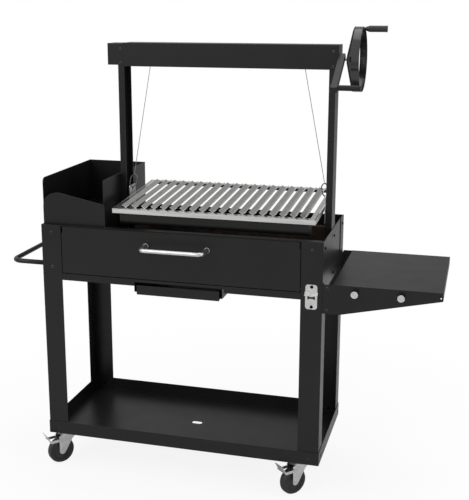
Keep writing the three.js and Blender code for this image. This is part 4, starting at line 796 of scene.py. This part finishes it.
side_screws = []
for x, way in ((-HALF, LEFTWARD), (HALF, RIGHTWARD)):
    for y in (SIDE_SCREW_FRONT, SIDE_SCREW_BACK):
        for z in (SCREW_TOP, SCREW_FOOT):
            side_screws.append((at(x, y, z), way))
    for z in (SCREW_TOP, SIDE_SCREW_LOW):
        side_screws.append((at(x, DEPTH / 2, z), way))
for x, way in ((-HALF + SHEET, RIGHTWARD), (HALF - SHEET, LEFTWARD)):
    side_screws.append((at(x, SIDE_SCREW_BACK, SCREW_FOOT), way))
for x in (-SCREW_X, SCREW_X):
    side_screws.append((at(x, DEPTH - SHEET, SCREW_FOOT), AHEAD))
# These heads are near black and barely mirror, as painted shade for the shadow round each head.
screws("side_screws", "frame", screw_coat_dark_as_shade, side_screws)

# The opener's screws get the same near black coat, painted shade round each head.
opener_screws = [(at(OPENER_SCREW_X, OPENER_FACE, z), AHEAD) for z in OPENER_SCREW_HEIGHTS]
screws("opener_screws", "frame", screw_coat_dark_as_shade, opener_screws)

# %% [markdown]
# The hoisting cables are stranded wire: six strands laid round a core. A twisted mesh shows the lay where a
# bump on a round bar would not change its outline. Each cable is held by the drum above and by the hook
# below, and is made as a straight run between the two.

# %% Cables
STRANDS = 6
LAY = 16
CABLE_RADIUS = 1.2
STRAND_SIDES = 7
STEPS_PER_LAY = 14
STRAND_SHARE = 0.36


def cable_line(node):
    """The upper and the lower end of a cable's middle line."""
    points = [v.co for v in nodes[node].data.vertices]
    high = max(p.z for p in points)
    low = min(p.z for p in points)
    upper = [p for p in points if p.z > high - CABLE_RADIUS * 3 * MM]
    lower = [p for p in points if p.z < low + CABLE_RADIUS * 3 * MM]
    top = sum(upper, Vector()) / len(upper)
    foot = sum(lower, Vector()) / len(lower)
    return top, foot


for node in ["cable_left", "cable_right"]:
    top, foot = cable_line(node)
    run = (foot - top).normalized()
    side = run.orthogonal().normalized()
    aside = run.cross(side)
    length = (foot - top).length
    steps = round(length / (LAY * MM) * STEPS_PER_LAY)
    strand_radius = CABLE_RADIUS * STRAND_SHARE * MM
    lay_radius = CABLE_RADIUS * MM - strand_radius
    cable_bm = bmesh.new()
    for strand in range(STRANDS + 1):
        core = strand == STRANDS
        rings = []
        for i in range(2 if core else steps + 1):
            share = i if core else i / steps
            angle = share * length / (LAY * MM) * math.tau + strand / STRANDS * math.tau
            out = (side * math.cos(angle) + aside * math.sin(angle)) * (0 if core else lay_radius)
            middle = top + run * (length * share) + out
            rings.append([cable_bm.verts.new(
                middle + (side * math.cos(turn) + aside * math.sin(turn)) * strand_radius
            ) for turn in (math.tau * k / STRAND_SIDES for k in range(STRAND_SIDES))])
        for upper, lower in zip(rings, rings[1:]):
            for k in range(STRAND_SIDES):
                n = (k + 1) % STRAND_SIDES
                cable_bm.faces.new((upper[k], upper[n], lower[n], lower[k]))
        cable_bm.faces.new(rings[0])
        cable_bm.faces.new(rings[-1])
    bmesh.ops.recalc_face_normals(cable_bm, faces=cable_bm.faces)
    cable = finished(cable_bm, f"{node}_stranded", None, [cable_steel], [node])
    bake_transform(cable)
    print(node, "is", round(length, 4), "m long")

# %% [markdown]
# The hooks, the pegs of the shelf and the wheels are small solids that already have their full shape.
# They could be modelled again, but a fine bevel on a copy is enough for what a viewer can see.

# %% Hooks, pegs and wheels
for node in ["hook_left", "hook_right"]:
    edged(node, [hook_zinc], FINE_EDGE)
for node in ["shelf_peg_1", "shelf_peg_2"]:
    edged(node, [bright_zinc], FINE_EDGE)
wheels = [n for n in nodes if n.startswith("caster_") and n.endswith("_wheel")]
for node in wheels:
    edged(node, [wheel_rubber], WHEEL_EDGE)
print("wheels:", len(wheels))
